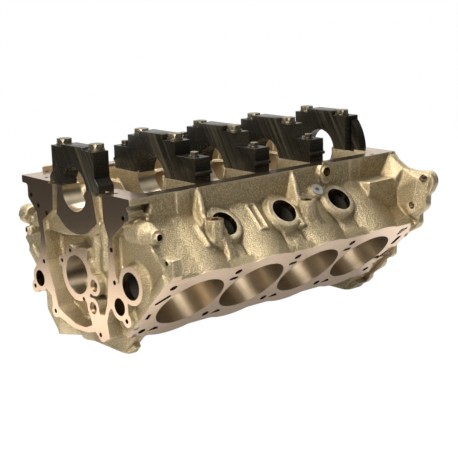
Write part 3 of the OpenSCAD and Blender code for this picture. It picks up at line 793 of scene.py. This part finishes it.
def group_node(tree, name, links):
    made = add_node(tree, "ShaderNodeGroup")
    made.node_tree = bpy.data.node_groups[name]
    for key, value in links.items():
        fill(tree, made.inputs[key], value)
    return made.outputs


def new_material(name):
    material = bpy.data.materials.new(name)
    material.use_nodes = True
    tree = material.node_tree
    tree.nodes.clear()
    out = tree.nodes.new("ShaderNodeOutputMaterial")
    shader = tree.nodes.new("ShaderNodeBsdfPrincipled")
    tree.links.new(shader.outputs["BSDF"], out.inputs["Surface"])
    position = tree.nodes.new("ShaderNodeTexCoord").outputs["Object"]
    return material, tree, shader, position


def add_bump(tree, shader, height, depth):
    bump = add_node(tree, "ShaderNodeBump", {"Height": height, "Distance": depth})
    tree.links.new(bump.outputs["Normal"], shader.inputs["Normal"])


def cast_skin_material(look):
    material, tree, shader, position = new_material("cast_skin")
    grain = group_node(
        tree, "Cast Grain", {"Position": position, "Grains per Metre": look.grain_count}
    )
    painted_light = group_node(tree, "Painted Edge Highlight and Corner Shade", {"Reach": 0.06})
    colour = blend_colours(
        tree, grain["Mottle"], look.cast_shade_colour, look.cast_colour
    )
    # grain pits darker, and painted shade: inner corners darkened toward the recess colour
    pits_and_corner_shade = times(tree, spread(tree, grain["Height"], 0.5, 0.36), 0.55)
    pits_and_corner_shade = maths(tree, "MAXIMUM", pits_and_corner_shade, times(tree, painted_light["Corners"], 0.6))
    colour = blend_colours(tree, pits_and_corner_shade, colour, look.cast_pit_and_corner_shade_colour)
    # bright grains, and painted highlight: outer edges lightened toward the edge colour
    bright = maths(
        tree,
        "MAXIMUM",
        times(tree, painted_light["Edges"], 0.5),
        times(tree, grain["Grains"], 0.6),
    )
    colour = blend_colours(tree, bright, colour, look.cast_grain_and_edge_highlight_colour)
    tree.links.new(colour, shader.inputs["Base Color"])
    shader.inputs["Metallic"].default_value = 1.0
    tree.links.new(
        spread(tree, grain["Height"], 0.3, 0.7, 0.44, 0.3), shader.inputs["Roughness"]
    )
    add_bump(tree, shader, grain["Height"], look.grain_depth)
    return material


def jacket_shade_material():
    """Rough cast surface inside the water jackets, near-black: painted shade."""
    material, tree, shader, position = new_material("jacket_core")
    grain = group_node(
        tree, "Cast Grain", {"Position": position, "Grains per Metre": 500.0}
    )
    # painted shade: a near-black tone for the dark inside of the jackets
    tone = blend_colours(
        tree, grain["Mottle"], (0.016, 0.0135, 0.008), (0.032, 0.027, 0.017)
    )
    tree.links.new(tone, shader.inputs["Base Color"])
    tree.links.new(
        spread(tree, grain["Height"], 0.3, 0.7, 0.95, 0.75), shader.inputs["Roughness"]
    )
    add_bump(tree, shader, grain["Height"], 0.001)
    return material


class Cut(NamedTuple):
    """Finish of a cut surface: two colours and the run and size of its tool marks."""

    colour: tuple
    streak_colour: tuple
    turn: tuple
    stretch: tuple
    rough: float
    mark_depth: float
    along: str = ""


def cut_finishes(look):
    """Finishes of the milled faces, the cylinder bores and the bearing bores."""
    return {
        "milled_face": Cut(
            look.machined_colour,
            (0.50, 0.37, 0.262),
            turn=(0.0, 0.0, 0.0),
            stretch=(60.0, 420.0, 420.0),
            rough=0.17,
            mark_depth=0.00006,
        ),
        "honed_bore": Cut(
            look.bore_colour,
            (0.36, 0.28, 0.18),
            turn=(math.radians(45), 0.0, 0.0),
            stretch=(40.0, 40.0, 1500.0),
            rough=0.34,
            mark_depth=0.00005,
            along="bank",
        ),
        "bearing_bore": Cut(
            (0.60, 0.51, 0.37),
            (0.46, 0.39, 0.28),
            turn=(0.0, 0.0, 0.0),
            stretch=(1200.0, 40.0, 40.0),
            rough=0.34,
            mark_depth=0.00004,
            along="crank",
        ),
    }


def machined_material(name, finish):
    """Cut metal with tool marks drawn out along one direction."""
    material, tree, shader, position = new_material(name)
    marks = group_node(
        tree,
        "Tool Marks",
        {"Position": position, "Turn": finish.turn, "Stretch": finish.stretch},
    )
    grain = group_node(
        tree, "Cast Grain", {"Position": position, "Grains per Metre": 700.0}
    )
    share = maths(
        tree,
        "MAXIMUM",
        times(tree, marks["Streaks"], 0.5),
        times(tree, grain["Mottle"], 0.35),
    )
    tone = blend_colours(tree, share, finish.colour, finish.streak_colour)
    tree.links.new(tone, shader.inputs["Base Color"])
    shader.inputs["Metallic"].default_value = 1.0
    tree.links.new(
        spread(
            tree, marks["Height"], 0.3, 0.7, finish.rough + 0.05, finish.rough - 0.03
        ),
        shader.inputs["Roughness"],
    )
    add_bump(tree, shader, marks["Height"], finish.mark_depth)
    if finish.along:
        shader.inputs["Anisotropic"].default_value = 0.88
        tree.links.new(bore_axis(tree, position, finish.along), shader.inputs["Tangent"])
    return material


def bore_axis(tree, position, along):
    """Direction of a bore's axis: the crank's, or that of the bank it lies in."""
    if along == "crank":
        return add_node(
            tree, "ShaderNodeCombineXYZ", {"X": 1.0, "Y": 0.0, "Z": 0.0}
        ).outputs["Vector"]
    side = add_node(tree, "ShaderNodeSeparateXYZ", {"Vector": position}).outputs["Y"]
    return add_node(
        tree,
        "ShaderNodeCombineXYZ",
        {"X": 0.0, "Y": maths(tree, "SIGN", side), "Z": -1.0},
    ).outputs["Vector"]


def cap_material(look):
    """Black finish with a slanted band of grinding streaks beside the bore."""
    material, tree, shader, position = new_material("cap_black")
    slant = math.radians(30)
    marks = group_node(
        tree,
        "Tool Marks",
        {
            "Position": position,
            "Turn": (slant, 0.0, 0.0),
            "Stretch": (60.0, 560.0, 9.0),
        },
    )
    painted_light = group_node(tree, "Painted Edge Highlight and Corner Shade", {"Reach": 0.12})
    normal = add_node(
        tree,
        "ShaderNodeSeparateXYZ",
        {"Vector": add_node(tree, "ShaderNodeNewGeometry").outputs["Normal"]},
    )
    over = add_node(
        tree,
        "ShaderNodeVectorMath",
        {0: position, 1: (0.0, math.cos(slant), -math.sin(slant))},
        operation="DOT_PRODUCT",
    ).outputs["Value"]
    band = times(
        tree, spread(tree, over, -0.012, -0.026), spread(tree, over, -0.072, -0.055)
    )
    across = spread(tree, maths(tree, "ABSOLUTE", normal.outputs["X"]), 0.8, 0.98)
    streaks = times(tree, marks["Streaks"], across)
    streaks = times(tree, streaks, spread(tree, band, 0.0, 1.0, 0.12, 1.0))
    colour = blend_colours(
        tree, times(tree, streaks, 0.6), look.cap_colour, look.streak_colour
    )
    # painted highlight: outer edges lightened toward the streak colour
    colour = blend_colours(
        tree, times(tree, painted_light["Edges"], 0.35), colour, look.streak_colour
    )
    tree.links.new(colour, shader.inputs["Base Color"])
    shader.inputs["Specular IOR Level"].default_value = 0.28
    tree.links.new(
        spread(tree, marks["Height"], 0.3, 0.7, 0.32, 0.22), shader.inputs["Roughness"]
    )
    add_bump(tree, shader, marks["Height"], 0.00012)
    return material


def plated_material(name, colour, shade_colour, metallic, rough):
    """Small turned and plated parts: bolts, dowels and plugs."""
    material, tree, shader, position = new_material(name)
    grain = group_node(
        tree, "Cast Grain", {"Position": position, "Grains per Metre": 2200.0}
    )
    painted_light = group_node(tree, "Painted Edge Highlight and Corner Shade", {"Reach": 0.1})
    tone = blend_colours(tree, grain["Mottle"], colour, shade_colour)
    # painted shade: inner corners darkened toward the shade colour
    tone = blend_colours(
        tree, times(tree, painted_light["Corners"], 0.8), tone, shade_colour
    )
    tree.links.new(tone, shader.inputs["Base Color"])
    shader.inputs["Metallic"].default_value = metallic
    tree.links.new(
        spread(tree, grain["Height"], 0.3, 0.7, rough + 0.08, rough),
        shader.inputs["Roughness"],
    )
    add_bump(tree, shader, grain["Height"], 0.00015)
    return material


# Settings
def colour_property(name, description, default):
    return FloatVectorProperty(
        name=name,
        description=description,
        default=default,
        subtype="COLOR",
        size=3,
        min=0.0,
        max=1.0,
    )


class BlockFinishSettings(bpy.types.PropertyGroup):
    skin_voxel: FloatProperty(
        name="Skin Voxel",
        description="Voxel size of the cast skin",
        default=0.0018,
        min=0.001,
        max=0.006,
        unit="LENGTH",
    )
    skin_rounds: IntProperty(
        name="Corner Rounding",
        description="How many times the cast skin is relaxed",
        default=4,
        min=0,
        max=40,
    )
    most_triangles: IntProperty(
        name="Most Triangles",
        description="Triangles that the finished casting may have",
        default=190000,
        min=20000,
        max=199000,
    )
    edge_break: FloatProperty(
        name="Edge Break",
        description="Bevel on the edges of the caps",
        default=0.0007,
        min=0.0001,
        max=0.003,
        unit="LENGTH",
    )
    grain_count: FloatProperty(
        name="Grains per Metre",
        description="Fineness of the cast skin's grain",
        default=620.0,
        min=100.0,
        max=4000.0,
    )
    grain_depth: FloatProperty(
        name="Grain Depth",
        description="Height of the cast skin's grain",
        default=0.0022,
        min=0.0,
        max=0.01,
        unit="LENGTH",
    )
    cast_colour: colour_property(
        "Cast Skin", "Lit colour of the cast skin", (0.45, 0.365, 0.222)
    )
    cast_shade_colour: colour_property(
        "Cast Skin Mottle", "Second tone of the cast skin", (0.38, 0.306, 0.184)
    )
    # colour of the grain pits, and of the painted shade in inner corners
    cast_pit_and_corner_shade_colour: colour_property(
        "Cast Pits and Corner Shade", "Cast skin in grain pits, and painted shade in inner corners", (0.12, 0.095, 0.056)
    )
    # colour of the bright grains, and of the painted highlight on outer edges
    cast_grain_and_edge_highlight_colour: colour_property(
        "Cast Grains and Edge Highlight", "Bright grains of the cast skin, and painted highlight on its outer edges", (0.84, 0.74, 0.56)
    )
    machined_colour: colour_property(
        "Milled Faces", "Colour of the milled faces", (0.64, 0.48, 0.345)
    )
    bore_colour: colour_property(
        "Cylinder Bores", "Colour of the honed bores", (0.56, 0.455, 0.32)
    )
    cap_colour: colour_property(
        "Bearing Caps", "Colour of the caps", (0.004, 0.0035, 0.0025)
    )
    # also the colour of the painted highlight on the cap edges
    streak_colour: colour_property(
        "Cap Streaks and Edge Highlight", "Colour of the grinding streaks, and of the painted highlight on the cap edges", (0.085, 0.074, 0.05)
    )
    bolt_colour: colour_property(
        "Cap Bolts", "Colour of the cap bolts", (0.25, 0.22, 0.15)
    )
    steel_colour: colour_property(
        "Plain Steel", "Colour of the dowels and the side plug", (0.62, 0.62, 0.58)
    )


class StudioSettings(bpy.types.PropertyGroup):
    key_power: FloatProperty(
        name="Key Light",
        description="Power of the large lamp at the front left",
        default=68.0,
        min=0.0,
        max=1000.0,
        unit="POWER",
    )
    top_power: FloatProperty(
        name="Top Light",
        description="Power of the lamp over the open crankcase",
        default=56.0,
        min=0.0,
        max=1000.0,
        unit="POWER",
    )
    room_strength: FloatProperty(
        name="Room Light",
        description="Strength of the light from the backdrop and the ceiling",
        default=1.0,
        min=0.0,
        max=3.0,
    )
    floor_colour: colour_property("Floor", "Colour of the floor", (0.88, 0.87, 0.85))


# Operators
CAST, MILLED, BORED, BEARING, JACKET = range(5)


def raw_casting(look):
    """The solid with stock and filled holes, remeshed and relaxed to a cast skin."""
    solid = welded_copy("block_casting", sharp_degrees=0.0)
    points = [Vector(p) for p in points_of(solid)]
    faces = [list(p.vertices) for p in solid.polygons]
    parts = [(points, faces), *stock_on(solid)]
    for hole in (
        cylinder_bores()
        + bearing_bores()
        + shaft_bores()
        + deck_holes()
        + lifter_bores()
        + core_plug_holes()
        + front_holes()
        + side_holes()
    ):
        parts.append(prism(hole.place, hole.outline, 1.0 - hole.depth, hole.stock))
    voxel = look.skin_voxel * 1.0
    skin = remeshed(mesh_from("raw_casting", *join(parts)), voxel)
    relax(skin, look.skin_rounds, inward_share=0.55)
    return skin


def finish_faces(mesh):
    """Gives each machined face its material, and keeps the edges of cuts sharp."""
    centres, normals = face_geometry(mesh)
    kinds = np.full(len(centres), CAST, np.int32)
    kinds[inside_jacket(centres)] = JACKET
    flat = np.any([on_plane(centres, normals, p) for p in MILLED_PLANES], axis=0)
    kinds[flat] = MILLED
    for hole in (
        deck_holes() + front_holes() + side_holes() + core_plug_holes() + lifter_bores()
    ):
        kinds[inside_wall(centres, normals, hole)] = MILLED
    for hole in cylinder_bores():
        kinds[inside_wall(centres, normals, hole)] = BORED
    for hole in bearing_bores() + shaft_bores():
        kinds[inside_wall(centres, normals, hole)] = BEARING
    mesh.polygons.foreach_set("material_index", kinds)
    mesh.polygons.foreach_set("use_smooth", ~flat)
    mesh.set_sharp_from_angle(angle=math.radians(34))
    mesh.update()


def inside_jacket(centres):
    """Faces of the water jackets and of the chambers behind the core plugs."""
    past_wall, past_mouth = 1.0, 0.7
    inside = np.zeros(len(centres), bool)
    for bank in BANKS:
        local = centres / MM @ np.array(bank.to_3x3())
        along, out, deep = local.T
        from_axis = np.min(
            [np.hypot(along - cylinder_x(i), out) for i in range(4)], axis=0
        )
        inside |= (
            (from_axis < JACKET_R + past_wall)
            & (from_axis > BORE_R + 2)
            & (out > JACKET_FAR_SIDE)
            & (deep > JACKET_FOOT - past_wall)
            & (deep < JACKET_HEAD + past_wall)
        )
        for j in (-1, 0, 1):
            from_plug = np.hypot(
                along - BANK_X - j * BORE_PITCH, deep - CORE_PLUG_DEPTH
            )
            inside |= (
                (from_plug < CHAMBER_R + past_wall)
                & (out > CHAMBER_FAR_SIDE)
                & (out < CORE_PLUG_FACE - CORE_PLUG_WALL + past_mouth)
            )
    mm = centres / MM
    inside |= (
        (np.hypot(*(mm[:, 1:] - FRONT_PLUG).T) < FRONT_CHAMBER_R + past_wall)
        & (mm[:, 0] > behind(FRONT_PLUG_WALL - past_mouth))
        & (mm[:, 0] < behind(FRONT_PLUG_WALL + FRONT_CHAMBER_DEPTH + past_wall))
    )
    return inside


def inside_wall(centres, normals, hole):
    """Faces on the wall of a hole: within its outline and square to its axis."""
    inverse = np.array(hole.place.inverted())
    local = centres / MM @ inverse[:3, :3].T + inverse[:3, 3]
    reach = max(math.hypot(*p) for p in hole.outline) + 0.2
    axis = np.array(hole.place)[:3, 2]
    near = (local[:, 2] < 0.2) & (local[:, 2] > -hole.depth - 0.2)
    near &= np.hypot(local[:, 0], local[:, 1]) < reach
    near &= np.abs(normals @ axis) < 0.1
    picked = np.flatnonzero(near)
    outline = np.array(hole.outline)
    after = np.roll(outline, -1, axis=0)
    span = after - outline
    offset = local[picked, None, :2] - outline[None]
    along = (offset * span).sum(2) / (span**2).sum(1)
    foot = outline + np.clip(along, 0, 1)[..., None] * span
    gap = np.hypot(*np.moveaxis(local[picked, None, :2] - foot, 2, 0)).min(1)
    near[picked] = gap < 0.25
    return near


class BLOCK_OT_groups(bpy.types.Operator):
    """Build the shader groups that the finishes share"""

    bl_idname = "block.shader_groups"
    bl_label = "Shader Groups"

    def execute(self, context):
        cast_grain_group()
        tool_mark_group()
        painted_light_mask_group()
        return {"FINISHED"}


class BLOCK_OT_casting(bpy.types.Operator):
    """Cast and machine the block"""

    bl_idname = "block.casting"
    bl_label = "Block Casting"

    def execute(self, context):
        look = context.scene.block_finish
        mesh = raw_casting(look)
        for one in milled_slabs():
            mesh = difference(mesh, [prism(one.place, one.outline, -one.depth, one.over)])
        for holes in (
            cylinder_bores(),
            bearing_bores(),
            shaft_bores(),
            deck_holes(),
            lifter_bores(),
            plug_chambers(),
            core_plug_holes(),
            front_holes(),
            side_holes(),
        ):
            mesh = cut(mesh, holes)
        mesh = thinned(mesh, look.most_triangles)
        mesh.name = "casting"
        mesh.materials.clear()
        mesh.materials.append(cast_skin_material(look))
        for name, finish in cut_finishes(look).items():
            mesh.materials.append(machined_material(name, finish))
        mesh.materials.append(jacket_shade_material())
        finish_faces(mesh)
        place_piece("casting", mesh, ["block_casting"])
        return {"FINISHED"}


BOLT_EDGE_BREAK = 0.00035


def bevelled(mesh, width):
    def add_modifier(modifiers):
        bevel = modifiers.new("edge_break", "BEVEL")
        bevel.width = width
        bevel.segments = 2
        bevel.limit_method = "ANGLE"
        bevel.angle_limit = math.radians(30)

    result = evaluated(mesh, add_modifier)
    result.polygons.foreach_set("use_smooth", np.ones(len(result.polygons), bool))
    result.set_sharp_from_angle(angle=math.radians(28))
    return result


class BLOCK_OT_caps(bpy.types.Operator):
    """Give the five main bearing caps their black finish and broken edges"""

    bl_idname = "block.caps"
    bl_label = "Bearing Caps"

    def execute(self, context):
        look = context.scene.block_finish
        material = cap_material(look)
        for number in range(1, 6):
            node = f"main_cap_{number}"
            mesh = bevelled(welded_copy(node), look.edge_break)
            mesh.materials.append(material)
            place_piece(f"cap_{number}", mesh, [node])
        return {"FINISHED"}


class BLOCK_OT_bolts(bpy.types.Operator):
    """Give the cap bolts their dark plated finish"""

    bl_idname = "block.bolts"
    bl_label = "Cap Bolts"

    def execute(self, context):
        look = context.scene.block_finish
        material = plated_material(
            "bolt_olive", look.bolt_colour, (0.10, 0.088, 0.06), 0.85, 0.32
        )
        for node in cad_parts:
            if "_bolt_" in node:
                mesh = bevelled(welded_copy(node), BOLT_EDGE_BREAK)
                mesh.materials.append(material)
                place_piece(f"dressed_{node}", mesh, [node])
        return {"FINISHED"}


class BLOCK_OT_steel(bpy.types.Operator):
    """Give the dowels and the side plug plain steel, and the gallery plugs brass"""

    bl_idname = "block.steel"
    bl_label = "Dowels and Plugs"

    def execute(self, context):
        look = context.scene.block_finish
        steel = plated_material(
            "plain_steel", look.steel_colour, (0.6, 0.6, 0.57), 0.9, 0.3
        )
        brass = plated_material(
            "dull_brass", (0.42, 0.355, 0.235), (0.3, 0.25, 0.16), 0.9, 0.42
        )
        for node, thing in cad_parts.items():
            if node.endswith("dowels") or "plug" in node:
                thing.data.materials.clear()
                gallery = node.startswith("gallery")
                thing.data.materials.append(brass if gallery else steel)
        return {"FINISHED"}


CAMERA_PLACE = Vector((-1.04352, -1.26702, 0.28200))
CAMERA_RIGHT = Vector((0.76198, -0.64700, -0.02779))
CAMERA_DOWN = Vector((-0.16767, -0.15566, -0.97348))
CAMERA_LENS = 85.412

# Studio: half the floor's width and the edges of the painted pool of light on the floor, in
# metres, and the backdrop's side
FLOOR_HALF = 60.0
LIT_POOL_EDGE = (0.42, 0.85)
BACKDROP_SIDE = (0.64, 0.77, 0.0)


def area_light(name, place, target, size, power, colour):
    lamp = bpy.data.lights.new(name, "AREA")
    lamp.shape = "RECTANGLE"
    lamp.size, lamp.size_y = size
    lamp.energy = power
    lamp.color = colour
    stand = bpy.data.objects.new(name, lamp)
    stand.location = place
    stand.rotation_euler = (
        (Vector(target) - Vector(place)).to_track_quat("-Z", "Y").to_euler()
    )
    bpy.context.scene.collection.objects.link(stand)


class BLOCK_OT_stage(bpy.types.Operator):
    """Set up the floor, the light and the camera"""

    bl_idname = "block.stage"
    bl_label = "Studio"

    def execute(self, context):
        studio = context.scene.block_studio
        self.add_floor(studio)
        self.add_room(context, studio)
        for name, place, size, power, colour in (
            ("key", (-1.75, -0.72, 1.2), (1.0, 0.75), studio.key_power, (1.0, 0.96, 0.9)),
            ("top", (0.0, 0.42, 1.64), (1.0, 1.0), studio.top_power, (1.0, 0.98, 0.95)),
        ):
            area_light(name, place, (0, 0, -0.05), size, power, colour)
        self.add_camera(context)
        context.scene.view_settings.view_transform = "Standard"
        return {"FINISHED"}

    def add_floor(self, studio):
        half, low = FLOOR_HALF, CAD_BOX[0].z
        corners = [(-half, -half), (half, -half), (half, half), (-half, half)]
        mesh = mesh_from("floor", [(x, y, low) for x, y in corners], [[0, 1, 2, 3]])
        material = bpy.data.materials.new("studio_floor")
        material.use_nodes = True
        tree = material.node_tree
        tree.nodes.clear()
        out = tree.nodes.new("ShaderNodeOutputMaterial")
        position = tree.nodes.new("ShaderNodeTexCoord").outputs["Object"]
        away = add_node(
            tree, "ShaderNodeVectorMath", {0: position}, operation="LENGTH"
        ).outputs["Value"]
        # painted pool of light: the floor is white near the block and dark further out
        lit_pool = spread(tree, away, *LIT_POOL_EDGE, 1.0, 0.06)
        tone = blend_colours(tree, lit_pool, (0.0, 0.0, 0.0), studio.floor_colour)
        matt = add_node(tree, "ShaderNodeBsdfDiffuse", {"Color": tone})
        path = tree.nodes.new("ShaderNodeLightPath")
        seen = maths(
            tree,
            "MAXIMUM",
            times(tree, path.outputs["Is Camera Ray"], 0.95),
            times(tree, path.outputs["Is Glossy Ray"], 0.3),
        )
        # for glossy rays the floor glows with that painted pool of light
        level = maths(tree, "MAXIMUM", lit_pool, path.outputs["Is Camera Ray"])
        bright = add_node(
            tree, "ShaderNodeEmission", {"Strength": times(tree, level, 1.05)}
        )
        mixed = add_node(
            tree,
            "ShaderNodeMixShader",
            {0: seen, 1: matt.outputs[0], 2: bright.outputs[0]},
        )
        tree.links.new(mixed.outputs[0], out.inputs["Surface"])
        mesh.materials.append(material)
        floor = bpy.data.objects.new("floor", mesh)
        bpy.context.scene.collection.objects.link(floor)

    def add_room(self, context, studio):
        world = bpy.data.worlds.new("studio_room")
        context.scene.world = world
        world.use_nodes = True
        tree = world.node_tree
        tree.nodes.clear()
        out = tree.nodes.new("ShaderNodeOutputWorld")
        path = tree.nodes.new("ShaderNodeLightPath")
        direction = tree.nodes.new("ShaderNodeTexCoord").outputs["Generated"]
        up = add_node(tree, "ShaderNodeSeparateXYZ", {"Vector": direction}).outputs["Z"]
        behind_block = add_node(
            tree,
            "ShaderNodeVectorMath",
            {0: direction, 1: BACKDROP_SIDE},
            operation="DOT_PRODUCT",
        ).outputs["Value"]
        ceiling = spread(tree, up, 0.35, 0.75)
        wall = maths(tree, "SUBTRACT", spread(tree, behind_block, 0.15, 0.6), ceiling, True)
        level = maths(
            tree,
            "ADD",
            times(tree, wall, 0.8),
            times(tree, ceiling, 0.3),
        )
        level = times(tree, maths(tree, "ADD", level, 0.05), studio.room_strength)
        lit = add_node(
            tree,
            "ShaderNodeBackground",
            {"Color": (1.0, 0.985, 0.96, 1.0), "Strength": level},
        )
        plain = add_node(tree, "ShaderNodeBackground", {"Strength": 1.0})
        plain.inputs["Color"].default_value = (1.0, 1.0, 1.0, 1.0)
        mixed = add_node(
            tree,
            "ShaderNodeMixShader",
            {0: path.outputs["Is Camera Ray"], 1: lit.outputs[0], 2: plain.outputs[0]},
        )
        tree.links.new(mixed.outputs[0], out.inputs["Surface"])

    def add_camera(self, context):
        lens = bpy.data.cameras.new("camera")
        lens.lens = CAMERA_LENS
        lens.clip_start = 0.05
        camera = bpy.data.objects.new("camera", lens)
        up = -CAMERA_DOWN
        back = CAMERA_RIGHT.cross(up)
        turn = Matrix((CAMERA_RIGHT, up, back)).transposed().to_4x4()
        camera.matrix_world = Matrix.Translation(CAMERA_PLACE) @ turn
        context.scene.collection.objects.link(camera)
        context.scene.camera = camera


class BLOCK_PT_finish(bpy.types.Panel):
    bl_label = "Engine Block"
    bl_idname = "BLOCK_PT_finish"
    bl_space_type = "VIEW_3D"
    bl_region_type = "UI"
    bl_category = "Engine Block"

    def draw(self, context):
        layout = self.layout
        for group in (context.scene.block_finish, context.scene.block_studio):
            column = layout.column()
            for key in group.bl_rna.properties.keys():
                if key not in ("rna_type", "name"):
                    column.prop(group, key)
        for operator in STEPS:
            layout.operator(operator.bl_idname)


STEPS = (
    BLOCK_OT_groups,
    BLOCK_OT_stage,
    BLOCK_OT_casting,
    BLOCK_OT_caps,
    BLOCK_OT_bolts,
    BLOCK_OT_steel,
)
CLASSES = (BlockFinishSettings, StudioSettings, *STEPS, BLOCK_PT_finish)


def register():
    for cls in CLASSES:
        bpy.utils.register_class(cls)
    bpy.types.Scene.block_finish = PointerProperty(type=BlockFinishSettings)
    bpy.types.Scene.block_studio = PointerProperty(type=StudioSettings)


def unregister():
    del bpy.types.Scene.block_studio
    del bpy.types.Scene.block_finish
    for cls in reversed(CLASSES):
        bpy.utils.unregister_class(cls)


def main():
    register()
    bpy.ops.block.shader_groups()
    bpy.ops.block.stage()
    bpy.ops.block.casting()
    bpy.ops.block.caps()
    bpy.ops.block.bolts()
    bpy.ops.block.steel()


if __name__ == "__main__":
    main()
